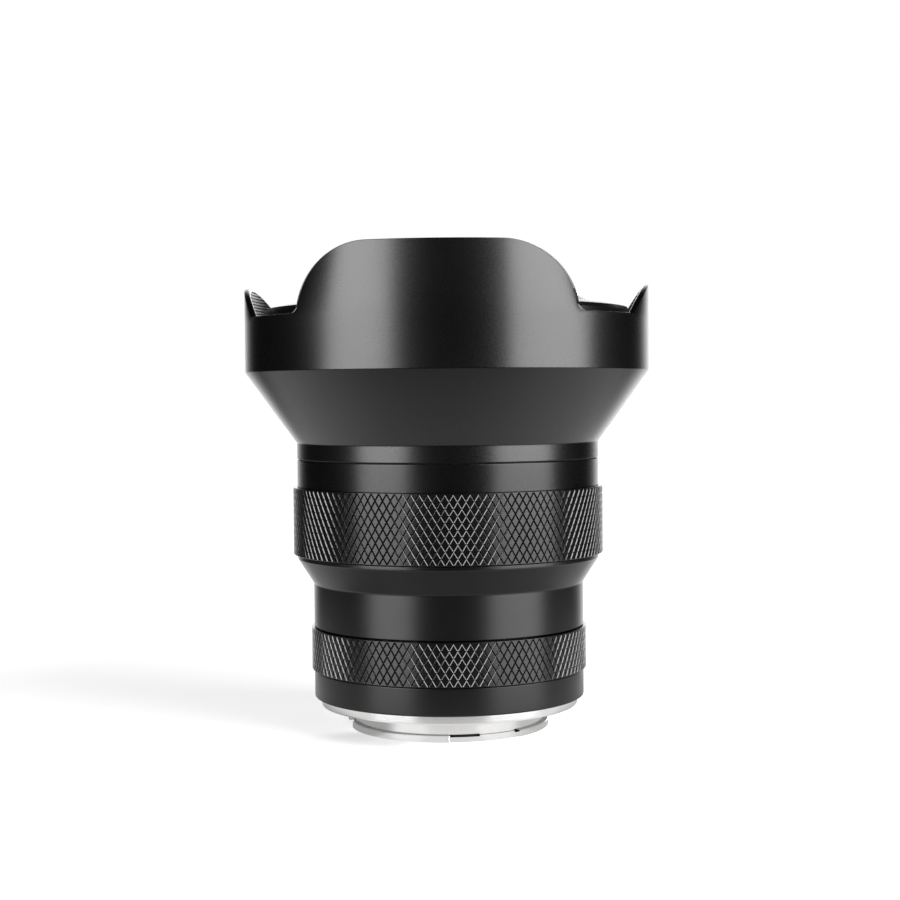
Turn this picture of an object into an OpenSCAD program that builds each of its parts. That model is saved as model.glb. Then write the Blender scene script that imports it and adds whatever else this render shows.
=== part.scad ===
// Fisheye lens with a built-in petal hood, standing on its bayonet end.
// Millimetres, +Z along the optical axis towards the subject.
// The origin is on the axis, at the rear end of the bayonet. Side angles run from -Y towards +X.

/* [Bayonet] */
// Outside diameter of the bayonet's cylinder
bayonet_d = 45.4; // [43:0.1:47]
// Wall of the bayonet's cylinder
bayonet_wall = 2.8; // [2:0.1:3]
// How far the lugs stand out of the cylinder
lug_reach = 1; // [0.8:0.1:2]
// Height of the lugs along the axis
lug_h = 1.6; // [1.2:0.1:2]
// Angle that each lug covers
lug_span = 77; // [50:1:90]
// Number of lugs
lug_count = 3; // [3:1:4]
// Side angle of the first lug's middle
lug_turn = 84.8; // [60:0.1:110]
// Space between the lugs and the flange's seat
seat_gap = 3.8; // [3:0.1:5]
// Outside diameter of the flange
flange_d = 61.4; // [60:0.1:63]
// Thickness of the flange
flange_t = 2.1; // [1.8:0.1:3]
// Number of screws through the flange
mount_screw_count = 4; // [3:1:6]

/* [Barrel] */
// Diameter of the base ring and the lower barrel
barrel_d = 64.5; // [62:0.5:68]
// Height of the base ring
base_h = 6.4; // [5:0.1:9]
// Height of the aperture ring
aperture_ring_h = 10.1; // [9:0.1:13]
// How far the aperture ring stands proud of the barrel
aperture_ring_proud = 0.6; // [0.4:0.1:1.5]
// Height of the plain lower barrel
lower_barrel_h = 10.2; // [8:0.1:14]
// Height of the cone between the two barrel diameters
step_cone_h = 5.9; // [5:0.1:8]
// Height of the plain lip above that cone
step_lip_h = 0.9; // [0.6:0.1:2]
// Diameter of the lip, the scale ring and the hood's neck
upper_d = 72; // [70:0.5:76]
// Height of the focus ring's knurled grip
focus_grip_h = 15.9; // [13:0.1:20]
// How far the grip stands proud of the scale ring
focus_grip_proud = 1.0; // [0.5:0.1:2]
// Height of the smooth scale ring
scale_ring_h = 6.35; // [5.5:0.05:9]
// Gap beside each turning ring
ring_gap = 0.2; // [0.1:0.05:0.4]
// Bevel on the outer edges
edge_bevel = 0.3; // [0.1:0.05:0.5]

/* [Hood] */
// Outside diameter of the hood
hood_d = 96; // [94:0.5:100]
// Wall of the hood
hood_wall = 1.5; // [1.2:0.1:2]
// Gap between the scale ring and the hood's neck
seam_gap = 0.25; // [0.15:0.05:0.5]
// Height of the neck
neck_h = 3.8; // [3.5:0.1:6]
// Height of the flared cone
cone_h = 16.8; // [16:0.1:20]
// Height of the hood from the cone to the floor of the notches
hood_band_h = 12.5; // [11:0.1:16]
// Height of the two long petals above that floor
long_petal_h = 15; // [14:0.1:18]
// Width of the two long petals
long_petal_w = 61.5; // [58:0.1:64]
// Radius of the long petals' corners
long_petal_round = 16; // [10:0.1:17]
// Radius where a long petal meets the floor
petal_fillet = 2; // [1:0.1:3]
// Height of the two short petals
short_petal_h = 7.6; // [6:0.1:10]
// Width of the two short petals at the floor
short_petal_w = 39.4; // [38:0.1:46]

/* [Focus] */
// Turn of the focus ring from far to near
focus_throw = 90; // [60:1:100]
// Forward travel of the front block over that turn
focus_travel = 1.5; // [1:0.1:2]
// Diameter of the cam followers
follower_d = 2.4; // [2:0.1:3]
// Wall of the knurled grip
grip_wall = 1.8; // [1.6:0.1:2.4]
// Wall of the cam sleeve
cam_wall = 1.5; // [1.2:0.1:2]
// Wall of the fixed tube inside the cam sleeve
tube_wall = 2.5; // [2:0.1:3]
// Wall of the sliding inner barrel
inner_wall = 2.5; // [2:0.1:3]

/* [Aperture] */
// Turn of the aperture ring from open to closed
aperture_throw = 48; // [40:1:50]
// Turn of each iris blade over the same travel
blade_turn = 26; // [20:1:27]
// Side angle of the aperture lever when open
lever_turn = 130; // [100:1:160]
// Wall of the aperture ring
aperture_ring_wall = 2.3; // [2:0.1:3]
// Wall of the sleeve that the aperture ring turns on
sleeve_wall = 3; // [2.5:0.1:3.5]
// Radius of the iris opening
iris_open_r = 7.4; // [6.5:0.1:7.6]
// Width of an iris blade
blade_w = 4; // [3.5:0.1:4.2]
// Thickness of an iris blade
blade_t = 0.15; // [0.1:0.01:0.18]
// Distance from one iris blade to the next along the axis
blade_pitch = 0.25; // [0.22:0.01:0.3]

/* [Glass] */
// Width of the dark rim between the hood's wall and the front element
front_rim_w = 8.5; // [7.5:0.1:9.5]
// Front curve of the front element
front_curve = 70; // [65:0.5:90]
// Middle thickness of the front element
front_glass_t = 5; // [4:0.1:6]
// How much smaller in radius the second element is than the front element
second_step = 12; // [11:0.1:13]
// Radius of the third element's rim
third_glass_r = 16; // [14.5:0.1:16.4]
// Radius of the fourth element's rim
fourth_glass_r = 14; // [12:0.1:14.4]
// Radius of the rear elements' rims
rear_glass_r = 11.5; // [11:0.1:12]

/* [Hidden] */
$fn = 96;

// Clearances
seat_fit = 0.02;
run_fit = 0.05;
turn_fit = 0.1;
glass_gap = 0.05;
end_gap = 0.1;
over = 1;

// Heights of the outside, from the rear end up
z_seat = lug_h + seat_gap;
z_base = z_seat + flange_t;
z_aperture = z_base + base_h + ring_gap;
z_aperture_top = z_aperture + aperture_ring_h;
z_lower = z_aperture_top + ring_gap;
z_cone = z_lower + lower_barrel_h;
z_step = z_cone + step_cone_h;
z_lip = z_step + step_lip_h;
z_focus = z_lip + ring_gap;
z_focus_top = z_focus + focus_grip_h;
z_scale_top = z_focus_top + scale_ring_h;
z_hood = z_scale_top + seam_gap;
z_neck = z_hood + neck_h;
z_edge = z_neck + cone_h;
z_floor = z_edge + hood_band_h;
z_long = z_floor + long_petal_h;
z_short = z_floor + short_petal_h;

// Radii of the bayonet
bayonet_r = bayonet_d / 2;
throat_r = bayonet_r - bayonet_wall;
lug_r = bayonet_r + lug_reach;
rim_step = 0.4;
rim_bevel = 0.2;
rim_drop = 0.1;
baffle_t = 0.9;
baffle_z = 2.2;
ledge_t = 1;
ledge_w = 2;
window_w = 28;
window_h = 20;
window_round = 2.5;
lock_hole_r = 1.5;
lock_hole_deep = 1.4;
lock_turn = 270;

// Radii of the focus ring, from outside in
barrel_r = barrel_d / 2;
upper_r = upper_d / 2;
grip_r = upper_r + focus_grip_proud;
cam_out_r = grip_r - grip_wall;
cam_in_r = cam_out_r - cam_wall;
tube_r = cam_in_r - turn_fit;
tube_in_r = tube_r - tube_wall;
inner_r = tube_in_r - run_fit;
inner_in_r = inner_r - inner_wall;

// Radii of the aperture ring and its sleeve
aperture_r = barrel_r + aperture_ring_proud;
aperture_in_r = aperture_r - aperture_ring_wall;
sleeve_r = aperture_in_r - turn_fit;
sleeve_in_r = sleeve_r - sleeve_wall;

// Heights inside the fixed barrel
floor_t = 3;
sleeve_reach = 6.9;
z_sleeve = z_lower + sleeve_reach;
shoulder_t = 3;
z_bore = z_cone + 2;
cam_clear = 0.15;
washer_t = ring_gap - run_fit;
cam_top_gap = 0.4;
retainer_t = 1.6;
cam_reach = 1.5;
tube_drop = 0.2;
z_cam_top = z_focus_top + cam_reach;
z_retainer = z_cam_top + cam_top_gap;
z_tube_top = z_retainer + retainer_t - tube_drop;

// Hood and inner barrel
hood_r = hood_d / 2;
hood_in_r = hood_r - hood_wall;
pass_gap = 0.3;
neck_in_r = cam_out_r - pass_gap;
cone_inner_rise = 1;
flange_drop = 2.6;
z_flange = z_hood - flange_drop;
neck_plug = 2.6;
z_ledge = z_hood + neck_plug;
hood_ledge_t = 2.4;
ledge_top = z_ledge + hood_ledge_t;
hood_ledge_r = inner_r + pass_gap;

// Cam followers
follower_count = 3;
follower_r = follower_d / 2;
z_follower = z_focus + 4.5;
cam_mid_r = (cam_in_r + cam_out_r) / 2;
cam_tilt = atan(focus_travel / 2 / sin(focus_throw / 2) / cam_mid_r);
cam_slot_w = follower_d + 2 * cam_clear;
cam_slot_span = focus_throw + 2 * atan((follower_r + cam_clear) / cam_mid_r);

// Iris, hung under the inner barrel's diaphragm
blade_count = 7;
iris_drop = 2;
z_iris = z_lip - iris_drop;
diaphragm_t = 2;
diaphragm_r = iris_open_r + 0.6;
plate_t = 1;
z_plate = z_iris - plate_t;
blade_gap = 0.1;
z_top_blade = z_plate - blade_gap - blade_t;
z_low_blade = z_top_blade - (blade_count - 1) * blade_pitch;
drive_t = 1;
z_drive = z_low_blade - blade_gap - drive_t;
z_rear_flange = z_drive - run_fit;
blade_out_r = iris_open_r + blade_w;
pivot_pin_r = 0.6;
pivot_gap = 1.5;
pivot_r = blade_out_r + pivot_gap;
drive_pin_r = 0.5;
drive_pin_gap = 2.1;
drive_pin_reach = pivot_r + drive_pin_gap;
drive_pin_angle = 16;
blade_tail = 10;
blade_span = 105;
ear_r = 1.3;
ear_tip_r = 0.9;
pin_fit = 0.04;
slot_steps = 10;
slot_end_fit = 0.02;
drive_inset = 2.8;
drive_rim = 2.35;
drive_in_r = iris_open_r + drive_inset;
drive_r = drive_pin_reach + drive_rim;
iris_wall_in_r = drive_r + run_fit;
iris_wall = 3;
iris_wall_r = iris_wall_in_r + iris_wall;
iris_screw_r = iris_wall_in_r + iris_wall / 2;
iris_screw_turn = 100;

// Aperture lever
finger_gap = 0.5;
finger_t = 1.6;
finger_w = 2.4;
finger_drop = 0.4;
finger_in_r = iris_wall_r + finger_gap;
finger_r = finger_in_r + finger_t;
fork_w = 6;
fork_rim = 1;
fork_r = finger_r + fork_rim;
arm_w = 4;
arm_t = 2;
foot_w = 9;
foot_h = 3.6;
foot_sink = 1;
foot_inset = 1.3;
foot_in_r = sleeve_r - foot_inset;
foot_r = aperture_in_r + foot_sink;
z_foot = z_aperture + (aperture_ring_h - foot_h) / 2;
z_arm = z_foot + (foot_h - arm_t) / 2;
window_margin = 0.6;
window_half = asin((foot_w / 2 + window_margin) / sleeve_in_r);
fork_window_half = asin((fork_w / 2 + window_margin) / iris_wall_in_r);

// Front group, seated from the rim of the front element down
front_glass_r = hood_in_r - front_rim_w;
second_glass_r = front_glass_r - second_step;
rim_rise = 3.1;
lip_w = 1.6;
clear_r = front_glass_r - lip_w;
z_rim = z_floor + rim_rise;
z_front_apex = z_rim + sag(front_curve, clear_r);
front_edge = 8.7;
z_front_edge = z_front_apex - sag(front_curve, front_glass_r);
z_front_seat = z_front_edge - front_edge;
front_land = 7;
front_back_r = front_glass_r - front_land;
front_back_apex = z_front_apex - front_glass_t;
front_back_curve = curve_through(front_back_r, front_back_apex - z_front_seat);
bezel_gap = 2.9;
bezel_r = hood_in_r - bezel_gap;
bezel_t = 0.3;
bezel_slope = 0.85;
bezel_bevel = 0.6;
bezel_flat = 2;
bezel_sink = 0.9;
shelf_fit = 0.2;
shelf_r = hood_in_r - shelf_fit;
shelf_t = 1.5;
shelf_drop = 2;
z_shelf = z_floor - shelf_drop;
z_bezel = z_shelf - bezel_sink;
bezel_edge_z = z_rim - bezel_slope + bezel_t;
cell_wall = 2.4;
cell_r = front_glass_r + cell_wall;
second_drop = 8;
second_apex_rise = 11;
second_t = 3;
second_curve = 80;
z_second = z_front_seat - second_drop;
second_apex = z_second + second_apex_rise;
second_back_r = second_glass_r - front_land;
second_back_curve = curve_through(second_back_r, second_apex - second_t - z_second);
second_ring_w = 2.5;
second_ring_lip = 1.4;
second_ring_t = 1.1;
z_second_ring = second_apex - sag(second_curve, second_glass_r - second_ring_lip) + glass_gap;
cell_in_r = 20;
spigot_drop = 2.8;
z_cell = z_hood - spigot_drop;
cell_foot_r = inner_in_r - seat_fit;
cell_foot_rise = 1.8;
cell_foot_top = ledge_top + cell_foot_rise;

// Middle group, hung from the bottom of the front cell
mid_r = cell_in_r - seat_fit;
mid_flange_w = 4;
mid_flange_r = cell_in_r + mid_flange_w;
mid_flange_t = 2;
mid_foot = 2.5;
z_mid = z_cell - mid_flange_t - mid_foot;
fourth_t = 12.5;
fourth_curve = 28;
fourth_back_curve = 50;
fourth_ring_t = 2.6;
fourth_sink = 1.9;
z_fourth_back = z_mid + fourth_sink;
fourth_apex = z_fourth_back + fourth_t;
fourth_lip_w = 1;
fourth_lip_t = 4.2;
fourth_lip_r = fourth_glass_r - fourth_lip_w;
z_fourth_lip = fourth_apex - sag(fourth_curve, fourth_lip_r) + glass_gap;
z_third = z_fourth_lip + fourth_lip_t;
third_curve = 100;
third_t = 2;
third_h = 5.5;
third_land = 4;
third_apex = z_third + third_h;
third_back_r = third_glass_r - third_land;
third_back_curve = curve_through(third_back_r, third_apex - third_t - z_third);
third_lip = 1.5;
third_ring_t = 1.1;
z_third_ring = third_apex - sag(third_curve, third_glass_r - third_lip) + glass_gap;
z_mid_top = z_third_ring + third_ring_t;

// Rear group, between the iris and the bayonet
rear_flange_t = 1.6;
rear_shoulder_w = 2.5;
rear_cell_wall = 2.5;
rear_cell_r = rear_glass_r + rear_cell_wall;
rear_cell_rise = 0.6;
z_rear_cell = z_seat + rear_cell_rise;
z_shoulder = z_rear_flange - rear_flange_t;
fifth_curve = 22;
fifth_t = 6.5;
cement_curve = 30;
fifth_apex = z_shoulder + sag(fifth_curve, rear_glass_r - rear_shoulder_w) - glass_gap;
z_cement = fifth_apex - fifth_t;
sixth_t = 2;
sixth_curve = 40;
z_sixth = z_cement - sixth_t - sag(sixth_curve, rear_glass_r);
rear_ring_w = 1.7;
rear_ring_t = 1.4;
seventh_curve = 20;
seventh_back_curve = 35;
seventh_edge = 1.5;
seventh_back = z_rear_cell + rear_ring_t + glass_gap - sag(seventh_back_curve, rear_glass_r - rear_ring_w);
z_seventh = seventh_back + sag(seventh_back_curve, rear_glass_r);
seventh_apex = z_seventh + seventh_edge + sag(seventh_curve, rear_glass_r);
spacer_w = 1.2;
spacer_in_r = rear_glass_r - spacer_w;
z_spacer = seventh_apex - sag(seventh_curve, spacer_in_r) + glass_gap;

// Screws
mount_screw_r = 0.8;
mount_screw_head_r = 1.7;
mount_screw_len = 4.2;
mount_screw_ring = (bayonet_r + flange_d / 2) / 2;
mount_screw_turn = 45;
recess_deep = 0.4;
recess_reach = 0.6;
recess_w = 0.28;
small_screw_r = 0.5;
small_head_r = 0.9;
small_head_h = 0.6;
large_head_h = 0.85;
barrel_screw_ring = (sleeve_r + sleeve_in_r) / 2;
barrel_head_r = 1.2;
hood_screw_count = 4;
hood_screw_inset = 1.6;
hood_screw_ring = hood_ledge_r + hood_screw_inset;
hood_head_r = 1.4;
barrel_screw_grip = 4;
barrel_screw_len = shoulder_t + barrel_screw_grip;
hood_screw_grip = 3;
hood_screw_len = hood_ledge_t + hood_screw_grip;
iris_screw_grip = 2;
iris_screw_len = diaphragm_t + iris_screw_grip;
rear_screw_grip = 2;
rear_screw_turn = 25;
lever_screw_skin = 0.9;
lever_screw_len = aperture_r - lever_screw_skin - foot_in_r;
lever_screw_inset = 1.3;
index_r = 1;
index_proud = 0.15;

black = [0.09, 0.09, 0.095];
flat_black = [0.05, 0.05, 0.05];
bright = [0.80, 0.80, 0.78];
steel = [0.62, 0.63, 0.64];
brass = [0.72, 0.58, 0.32];
glass = [0.62, 0.72, 0.78, 0.5];
white = [0.9, 0.9, 0.88];

// Height of a curve of the given radius over a chord of half-width r
function sag(curve, r) = curve - sqrt(curve * curve - r * r);

// Radius of the curve that is the given height over a chord of half-width r
function curve_through(r, height) = (r * r + height * height) / (2 * height);

// Point at a radius and a plain angle
function polar(r, a) = [r * cos(a), r * sin(a)];

// Point turned about a centre
function turned(p, centre, a) = [
  centre[0] + (p[0] - centre[0]) * cos(a) - (p[1] - centre[1]) * sin(a),
  centre[1] + (p[0] - centre[0]) * sin(a) + (p[1] - centre[1]) * cos(a)
];

// Solid of revolution from [radius, height] points
module turned_part(points) {
  rotate_extrude() polygon(points);
}

// Plain ring
module ring(inner, outer, low, high) {
  turned_part([[inner, low], [outer, low], [outer, high], [inner, high]]);
}

// Ring with bevelled outer edges
module bevelled_ring(inner, outer, low, high, bevel) {
  turned_part([
    [inner, low], [outer - bevel, low], [outer, low + bevel],
    [outer, high - bevel], [outer - bevel, high], [inner, high]
  ]);
}

// Sector of a ring, from one plain angle over a span
module ring_sector(inner, outer, low, high, from, span) {
  rotate([0, 0, from])
    rotate_extrude(angle = span)
      translate([inner, low])
        square([outer - inner, high - low]);
}

// Children at a side angle, which runs from -Y towards +X
module at_side(turn, radius = 0, height = 0) {
  rotate([0, 0, turn - 90])
    translate([radius, 0, height])
      children();
}

// Children spaced evenly round the axis
module around(count, first, radius, height) {
  for (i = [0 : count - 1])
    at_side(first + i * 360 / count, radius, height)
      children();
}

// Cross recess in a screw's head, cut from the top down
module cross_recess(head_r, deep) {
  for (a = [0, 90])
    rotate([0, 0, a])
      translate([-head_r * recess_reach, -head_r * recess_w / 2, -deep])
        cube([2 * head_r * recess_reach, head_r * recess_w, deep + over]);
}

// Cheese-head screw, head on top of z = 0 and shank below
module cheese_screw(shank_r, head_r, head_h, len) {
  difference() {
    union() {
      cylinder(r = head_r, h = head_h);
      translate([0, 0, -len]) cylinder(r = shank_r, h = len);
    }
    translate([0, 0, head_h]) cross_recess(head_r, head_h * recess_reach);
  }
}

// Outside of a countersunk screw, head flush with z = 0, grown all round by a clearance
module countersunk_shape(grow) {
  cone = mount_screw_head_r - mount_screw_r;
  translate([0, 0, -cone])
    cylinder(r1 = mount_screw_r + grow, r2 = mount_screw_head_r + grow, h = cone);
  translate([0, 0, -mount_screw_len]) cylinder(r = mount_screw_r + grow, h = mount_screw_len);
}

module countersunk_screw() {
  difference() {
    countersunk_shape(0);
    cross_recess(mount_screw_head_r, mount_screw_head_r * recess_deep);
  }
}

// Glass with a domed front and a hollow back, flat at its lower rim
module meniscus(r, apex, curve, back_apex, back_curve, low) {
  difference() {
    intersection() {
      translate([0, 0, low]) cylinder(r = r, h = apex - low);
      translate([0, 0, apex - curve]) sphere(r = curve);
    }
    translate([0, 0, back_apex - back_curve]) sphere(r = back_curve);
  }
}

// Glass domed on both sides
module biconvex(r, apex, curve, back_apex, back_curve) {
  intersection() {
    translate([0, 0, back_apex]) cylinder(r = r, h = apex - back_apex);
    translate([0, 0, apex - curve]) sphere(r = curve);
    translate([0, 0, back_apex + back_curve]) sphere(r = back_curve);
  }
}

module mount_screw_places() {
  around(mount_screw_count, mount_screw_turn, mount_screw_ring, z_seat)
    mirror([0, 0, 1])
      children();
}

module baffle_screw_places() {
  around(3, 0, throat_r - ledge_w / 2, baffle_z)
    mirror([0, 0, 1])
      children();
}

module bayonet_mount() {
  color(bright)
    difference() {
      union() {
        turned_part([
          [throat_r, 0], [bayonet_r + rim_step - rim_bevel, 0], [bayonet_r + rim_step, rim_bevel],
          [bayonet_r + rim_step, lug_h - rim_drop], [bayonet_r, lug_h - rim_drop], [bayonet_r, z_seat],
          [flange_d / 2 - edge_bevel, z_seat], [flange_d / 2, z_seat + edge_bevel],
          [flange_d / 2, z_base], [throat_r, z_base],
          [throat_r, baffle_z + baffle_t + ledge_t], [throat_r - ledge_w, baffle_z + baffle_t + ledge_t],
          [throat_r - ledge_w, baffle_z + baffle_t], [throat_r, baffle_z + baffle_t]
        ]);
        for (i = [0 : lug_count - 1])
          ring_sector(bayonet_r - over, lug_r, 0, lug_h,
            lug_turn + i * 360 / lug_count - lug_span / 2 - 90, lug_span);
      }
      mount_screw_places() countersunk_shape(seat_fit);
      baffle_screw_places()
        translate([0, 0, -baffle_t - ledge_t - over])
          cylinder(r = small_screw_r + seat_fit, h = baffle_t + ledge_t + 2 * over);
      at_side(lock_turn, mount_screw_ring, z_seat - over)
        cylinder(r = lock_hole_r, h = lock_hole_deep + over);
    }
}

module mount_screws() {
  color(steel) mount_screw_places() countersunk_screw();
}

module rear_baffle() {
  color(flat_black)
    difference() {
      translate([0, 0, baffle_z]) cylinder(r = throat_r - seat_fit, h = baffle_t);
      translate([0, 0, baffle_z - over])
        linear_extrude(baffle_t + 2 * over) rounded_window();
      baffle_screw_places()
        translate([0, 0, -baffle_t - over])
          cylinder(r = small_screw_r + seat_fit, h = baffle_t + 2 * over);
    }
}

module rounded_window() {
  square([window_w - 2 * window_round, window_h], center = true);
  square([window_w, window_h - 2 * window_round], center = true);
  for (x = [-1, 1], y = [-1, 1])
    translate([x * (window_w / 2 - window_round), y * (window_h / 2 - window_round)])
      circle(r = window_round);
}

module baffle_screws() {
  color(steel)
    baffle_screw_places()
      cheese_screw(small_screw_r, small_head_r, small_head_h, baffle_t + ledge_t);
}

module barrel_screw_places() {
  around(3, 0, barrel_screw_ring, z_sleeve + shoulder_t) children();
}

module rear_housing() {
  z_top = z_aperture - ring_gap;
  color(black)
    difference() {
      turned_part([
        [throat_r + 1, z_base], [barrel_r - edge_bevel, z_base], [barrel_r, z_base + edge_bevel],
        [barrel_r, z_top - edge_bevel], [barrel_r - edge_bevel, z_top], [sleeve_r, z_top],
        [sleeve_r, z_sleeve], [sleeve_in_r, z_sleeve], [sleeve_in_r, z_base + floor_t],
        [throat_r + 1, z_base + floor_t]
      ]);
      mount_screw_places() countersunk_shape(seat_fit);
      ring_sector(sleeve_in_r - over, sleeve_r + over,
        z_foot - window_margin, z_foot + foot_h + window_margin,
        lever_turn - 90 - window_half, aperture_throw + 2 * window_half);
      barrel_screw_places()
        translate([0, 0, -barrel_screw_len]) cylinder(r = small_screw_r + seat_fit, h = barrel_screw_len);
      at_side(180, barrel_r - index_r, z_base + base_h / 2)
        rotate([0, 90, 0])
          cylinder(r = index_r, h = index_r + over);
    }
}

module mount_index() {
  color(white)
    at_side(180, barrel_r - index_r, z_base + base_h / 2)
      rotate([0, 90, 0])
        cylinder(r = index_r, h = index_r + index_proud);
}

module lower_barrel() {
  slot_low = z_follower - follower_r - run_fit;
  slot_high = z_follower + focus_travel + follower_r + run_fit;
  slot_w = follower_d + 2 * run_fit;
  color(black)
    difference() {
      turned_part([
        [sleeve_r, z_lower], [barrel_r - edge_bevel, z_lower], [barrel_r, z_lower + edge_bevel],
        [barrel_r, z_cone], [upper_r, z_step], [upper_r, z_lip - edge_bevel], [upper_r - edge_bevel, z_lip],
        [tube_r, z_lip], [tube_r, z_tube_top], [tube_in_r, z_tube_top], [tube_in_r, z_bore],
        [sleeve_r, z_bore], [sleeve_r, z_sleeve + shoulder_t], [sleeve_in_r, z_sleeve + shoulder_t],
        [sleeve_in_r, z_sleeve], [sleeve_r, z_sleeve]
      ]);
      around(follower_count, 0, tube_in_r - over, slot_low)
        translate([0, -slot_w / 2, 0])
          cube([tube_wall + 2 * over, slot_w, slot_high - slot_low]);
      barrel_screw_places()
        translate([0, 0, -barrel_screw_len])
          cylinder(r = small_screw_r + seat_fit, h = barrel_screw_len + over);
    }
}

module barrel_screws() {
  color(steel)
    barrel_screw_places()
      cheese_screw(small_screw_r, barrel_head_r, large_head_h, barrel_screw_len);
}

module focus_washer() {
  color(brass) ring(tube_r + turn_fit, cam_out_r, z_lip, z_lip + washer_t);
}

module focus_retainer() {
  color(black) ring(tube_r + seat_fit, cam_out_r - pass_gap, z_retainer, z_retainer + retainer_t);
}

module focus_grip() {
  color(black) bevelled_ring(cam_out_r, grip_r, z_focus, z_focus_top, edge_bevel);
}

module focus_scale_ring() {
  color(black) bevelled_ring(cam_out_r, upper_r, z_focus_top, z_scale_top, edge_bevel / 2);
}

// The slots climb evenly enough that a tilted flat ring follows them
module focus_cam() {
  color(brass)
    difference() {
      ring(cam_in_r, cam_out_r, z_focus, z_cam_top);
      for (i = [0 : follower_count - 1])
        at_side(i * 360 / follower_count - focus_throw / 2, 0, z_follower + focus_travel / 2)
          rotate([-cam_tilt, 0, 0])
            ring_sector(cam_in_r - over, cam_out_r + over, -cam_slot_w / 2, cam_slot_w / 2,
              -cam_slot_span / 2, cam_slot_span);
    }
}

module cam_followers() {
  color(steel)
    around(follower_count, 0, inner_in_r, z_follower)
      rotate([0, 90, 0])
        cylinder(r = follower_r, h = cam_out_r - pass_gap - inner_in_r);
}

// Front view of a long petal and all that lies below the floor under it
module long_petal_outline() {
  half = long_petal_w / 2;
  side_top = z_long - long_petal_round;
  corner_x = half - long_petal_round;
  reach = long_petal_round + petal_fillet;
  rise = max(0, z_floor + petal_fillet - side_top);
  fillet_x = corner_x + sqrt(reach * reach - rise * rise);
  touch_h = petal_fillet - rise * petal_fillet / reach;
  translate([-half, 0]) square([long_petal_w, max(side_top, z_floor)]);
  translate([-corner_x, 0]) square([2 * corner_x, z_long]);
  for (x = [-1, 1]) {
    translate([x * corner_x, side_top]) circle(r = long_petal_round);
    difference() {
      translate([min(x * corner_x, x * fillet_x), z_floor - over])
        square([fillet_x - corner_x, touch_h + over]);
      translate([x * fillet_x, z_floor + petal_fillet]) circle(r = petal_fillet);
    }
  }
}

// Side view of a short petal
module short_petal_outline() {
  curve = curve_through(short_petal_w / 2, short_petal_h);
  intersection() {
    translate([0, z_short - curve]) circle(r = curve);
    translate([-short_petal_w, z_floor - over]) square([2 * short_petal_w, short_petal_h + 2 * over]);
  }
}

module petal_hood() {
  color(black)
    difference() {
      intersection() {
        turned_part([
          [upper_r - edge_bevel / 2, z_hood], [upper_r, z_hood + edge_bevel / 2], [upper_r, z_neck],
          [hood_r, z_edge], [hood_r, z_long], [hood_in_r, z_long], [hood_in_r, z_edge + cone_inner_rise],
          [neck_in_r, ledge_top], [hood_ledge_r, ledge_top], [hood_ledge_r, z_ledge],
          [neck_in_r, z_ledge], [neck_in_r, z_hood]
        ]);
        union() {
          cylinder(r = hood_d, h = z_floor);
          rotate([90, 0, 0])
            translate([0, 0, -hood_d])
              linear_extrude(2 * hood_d) long_petal_outline();
          rotate([90, 0, 90])
            translate([0, 0, -hood_d])
              linear_extrude(2 * hood_d) short_petal_outline();
        }
      }
      hood_screw_places()
        translate([0, 0, -ledge_top]) cylinder(r = small_screw_r + seat_fit, h = ledge_top + over);
    }
}

module hood_screw_places() {
  around(hood_screw_count, 45, hood_screw_ring, ledge_top) children();
}

module hood_screws() {
  color(steel)
    hood_screw_places()
      cheese_screw(small_screw_r, hood_head_r, large_head_h, hood_screw_len);
}

module iris_screw_places(turn) {
  for (i = [0 : 2])
    at_side(lever_turn + turn + i * 90, iris_screw_r, 0) children();
}

module inner_barrel() {
  color(flat_black)
    difference() {
      turned_part([
        [inner_r, z_iris], [inner_r, z_flange], [neck_in_r, z_flange], [neck_in_r, z_ledge],
        [inner_in_r, z_ledge], [inner_in_r, z_iris + diaphragm_t],
        [diaphragm_r, z_iris + diaphragm_t], [diaphragm_r, z_iris]
      ]);
      around(follower_count, 0, inner_in_r - over, z_follower)
        rotate([0, 90, 0])
          cylinder(r = follower_r + seat_fit, h = inner_wall + 2 * over);
      hood_screw_places()
        translate([0, 0, -hood_screw_len]) cylinder(r = small_screw_r + seat_fit, h = hood_screw_len);
      iris_screw_places(iris_screw_turn)
        translate([0, 0, z_iris - over])
          cylinder(r = small_screw_r + seat_fit, h = diaphragm_t + 2 * over);
    }
}

module front_cell() {
  color(flat_black)
    turned_part([
      [cell_in_r, z_cell], [cell_foot_r, z_cell], [cell_foot_r, cell_foot_top],
      [cell_r, z_front_seat - cell_wall], [cell_r, z_shelf - shelf_t],
      [shelf_r, z_shelf - shelf_t], [shelf_r, z_shelf],
      [bezel_r + seat_fit, z_shelf], [bezel_r + seat_fit, z_bezel],
      [front_glass_r + seat_fit, z_bezel], [front_glass_r + seat_fit, z_front_seat],
      [second_glass_r + second_ring_w, z_front_seat],
      [second_glass_r + second_ring_w, z_second_ring], [second_glass_r + seat_fit, z_second_ring],
      [second_glass_r + seat_fit, z_second], [cell_in_r, z_second]
    ]);
}

module front_bezel() {
  color(flat_black)
    turned_part([
      [front_glass_r + seat_fit, z_bezel], [bezel_r, z_bezel],
      [bezel_r, bezel_edge_z - 2 * bezel_bevel], [bezel_r - bezel_bevel, bezel_edge_z - bezel_bevel / 2],
      [bezel_r - bezel_flat, bezel_edge_z], [clear_r, z_rim + bezel_t], [clear_r, z_rim + glass_gap],
      [front_glass_r + seat_fit, z_front_edge + glass_gap]
    ]);
}

module front_element() {
  color(glass)
    meniscus(front_glass_r, z_front_apex, front_curve, front_back_apex, front_back_curve, z_front_seat);
}

module second_element() {
  color(glass)
    meniscus(second_glass_r, second_apex, second_curve, second_apex - second_t, second_back_curve, z_second);
}

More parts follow.
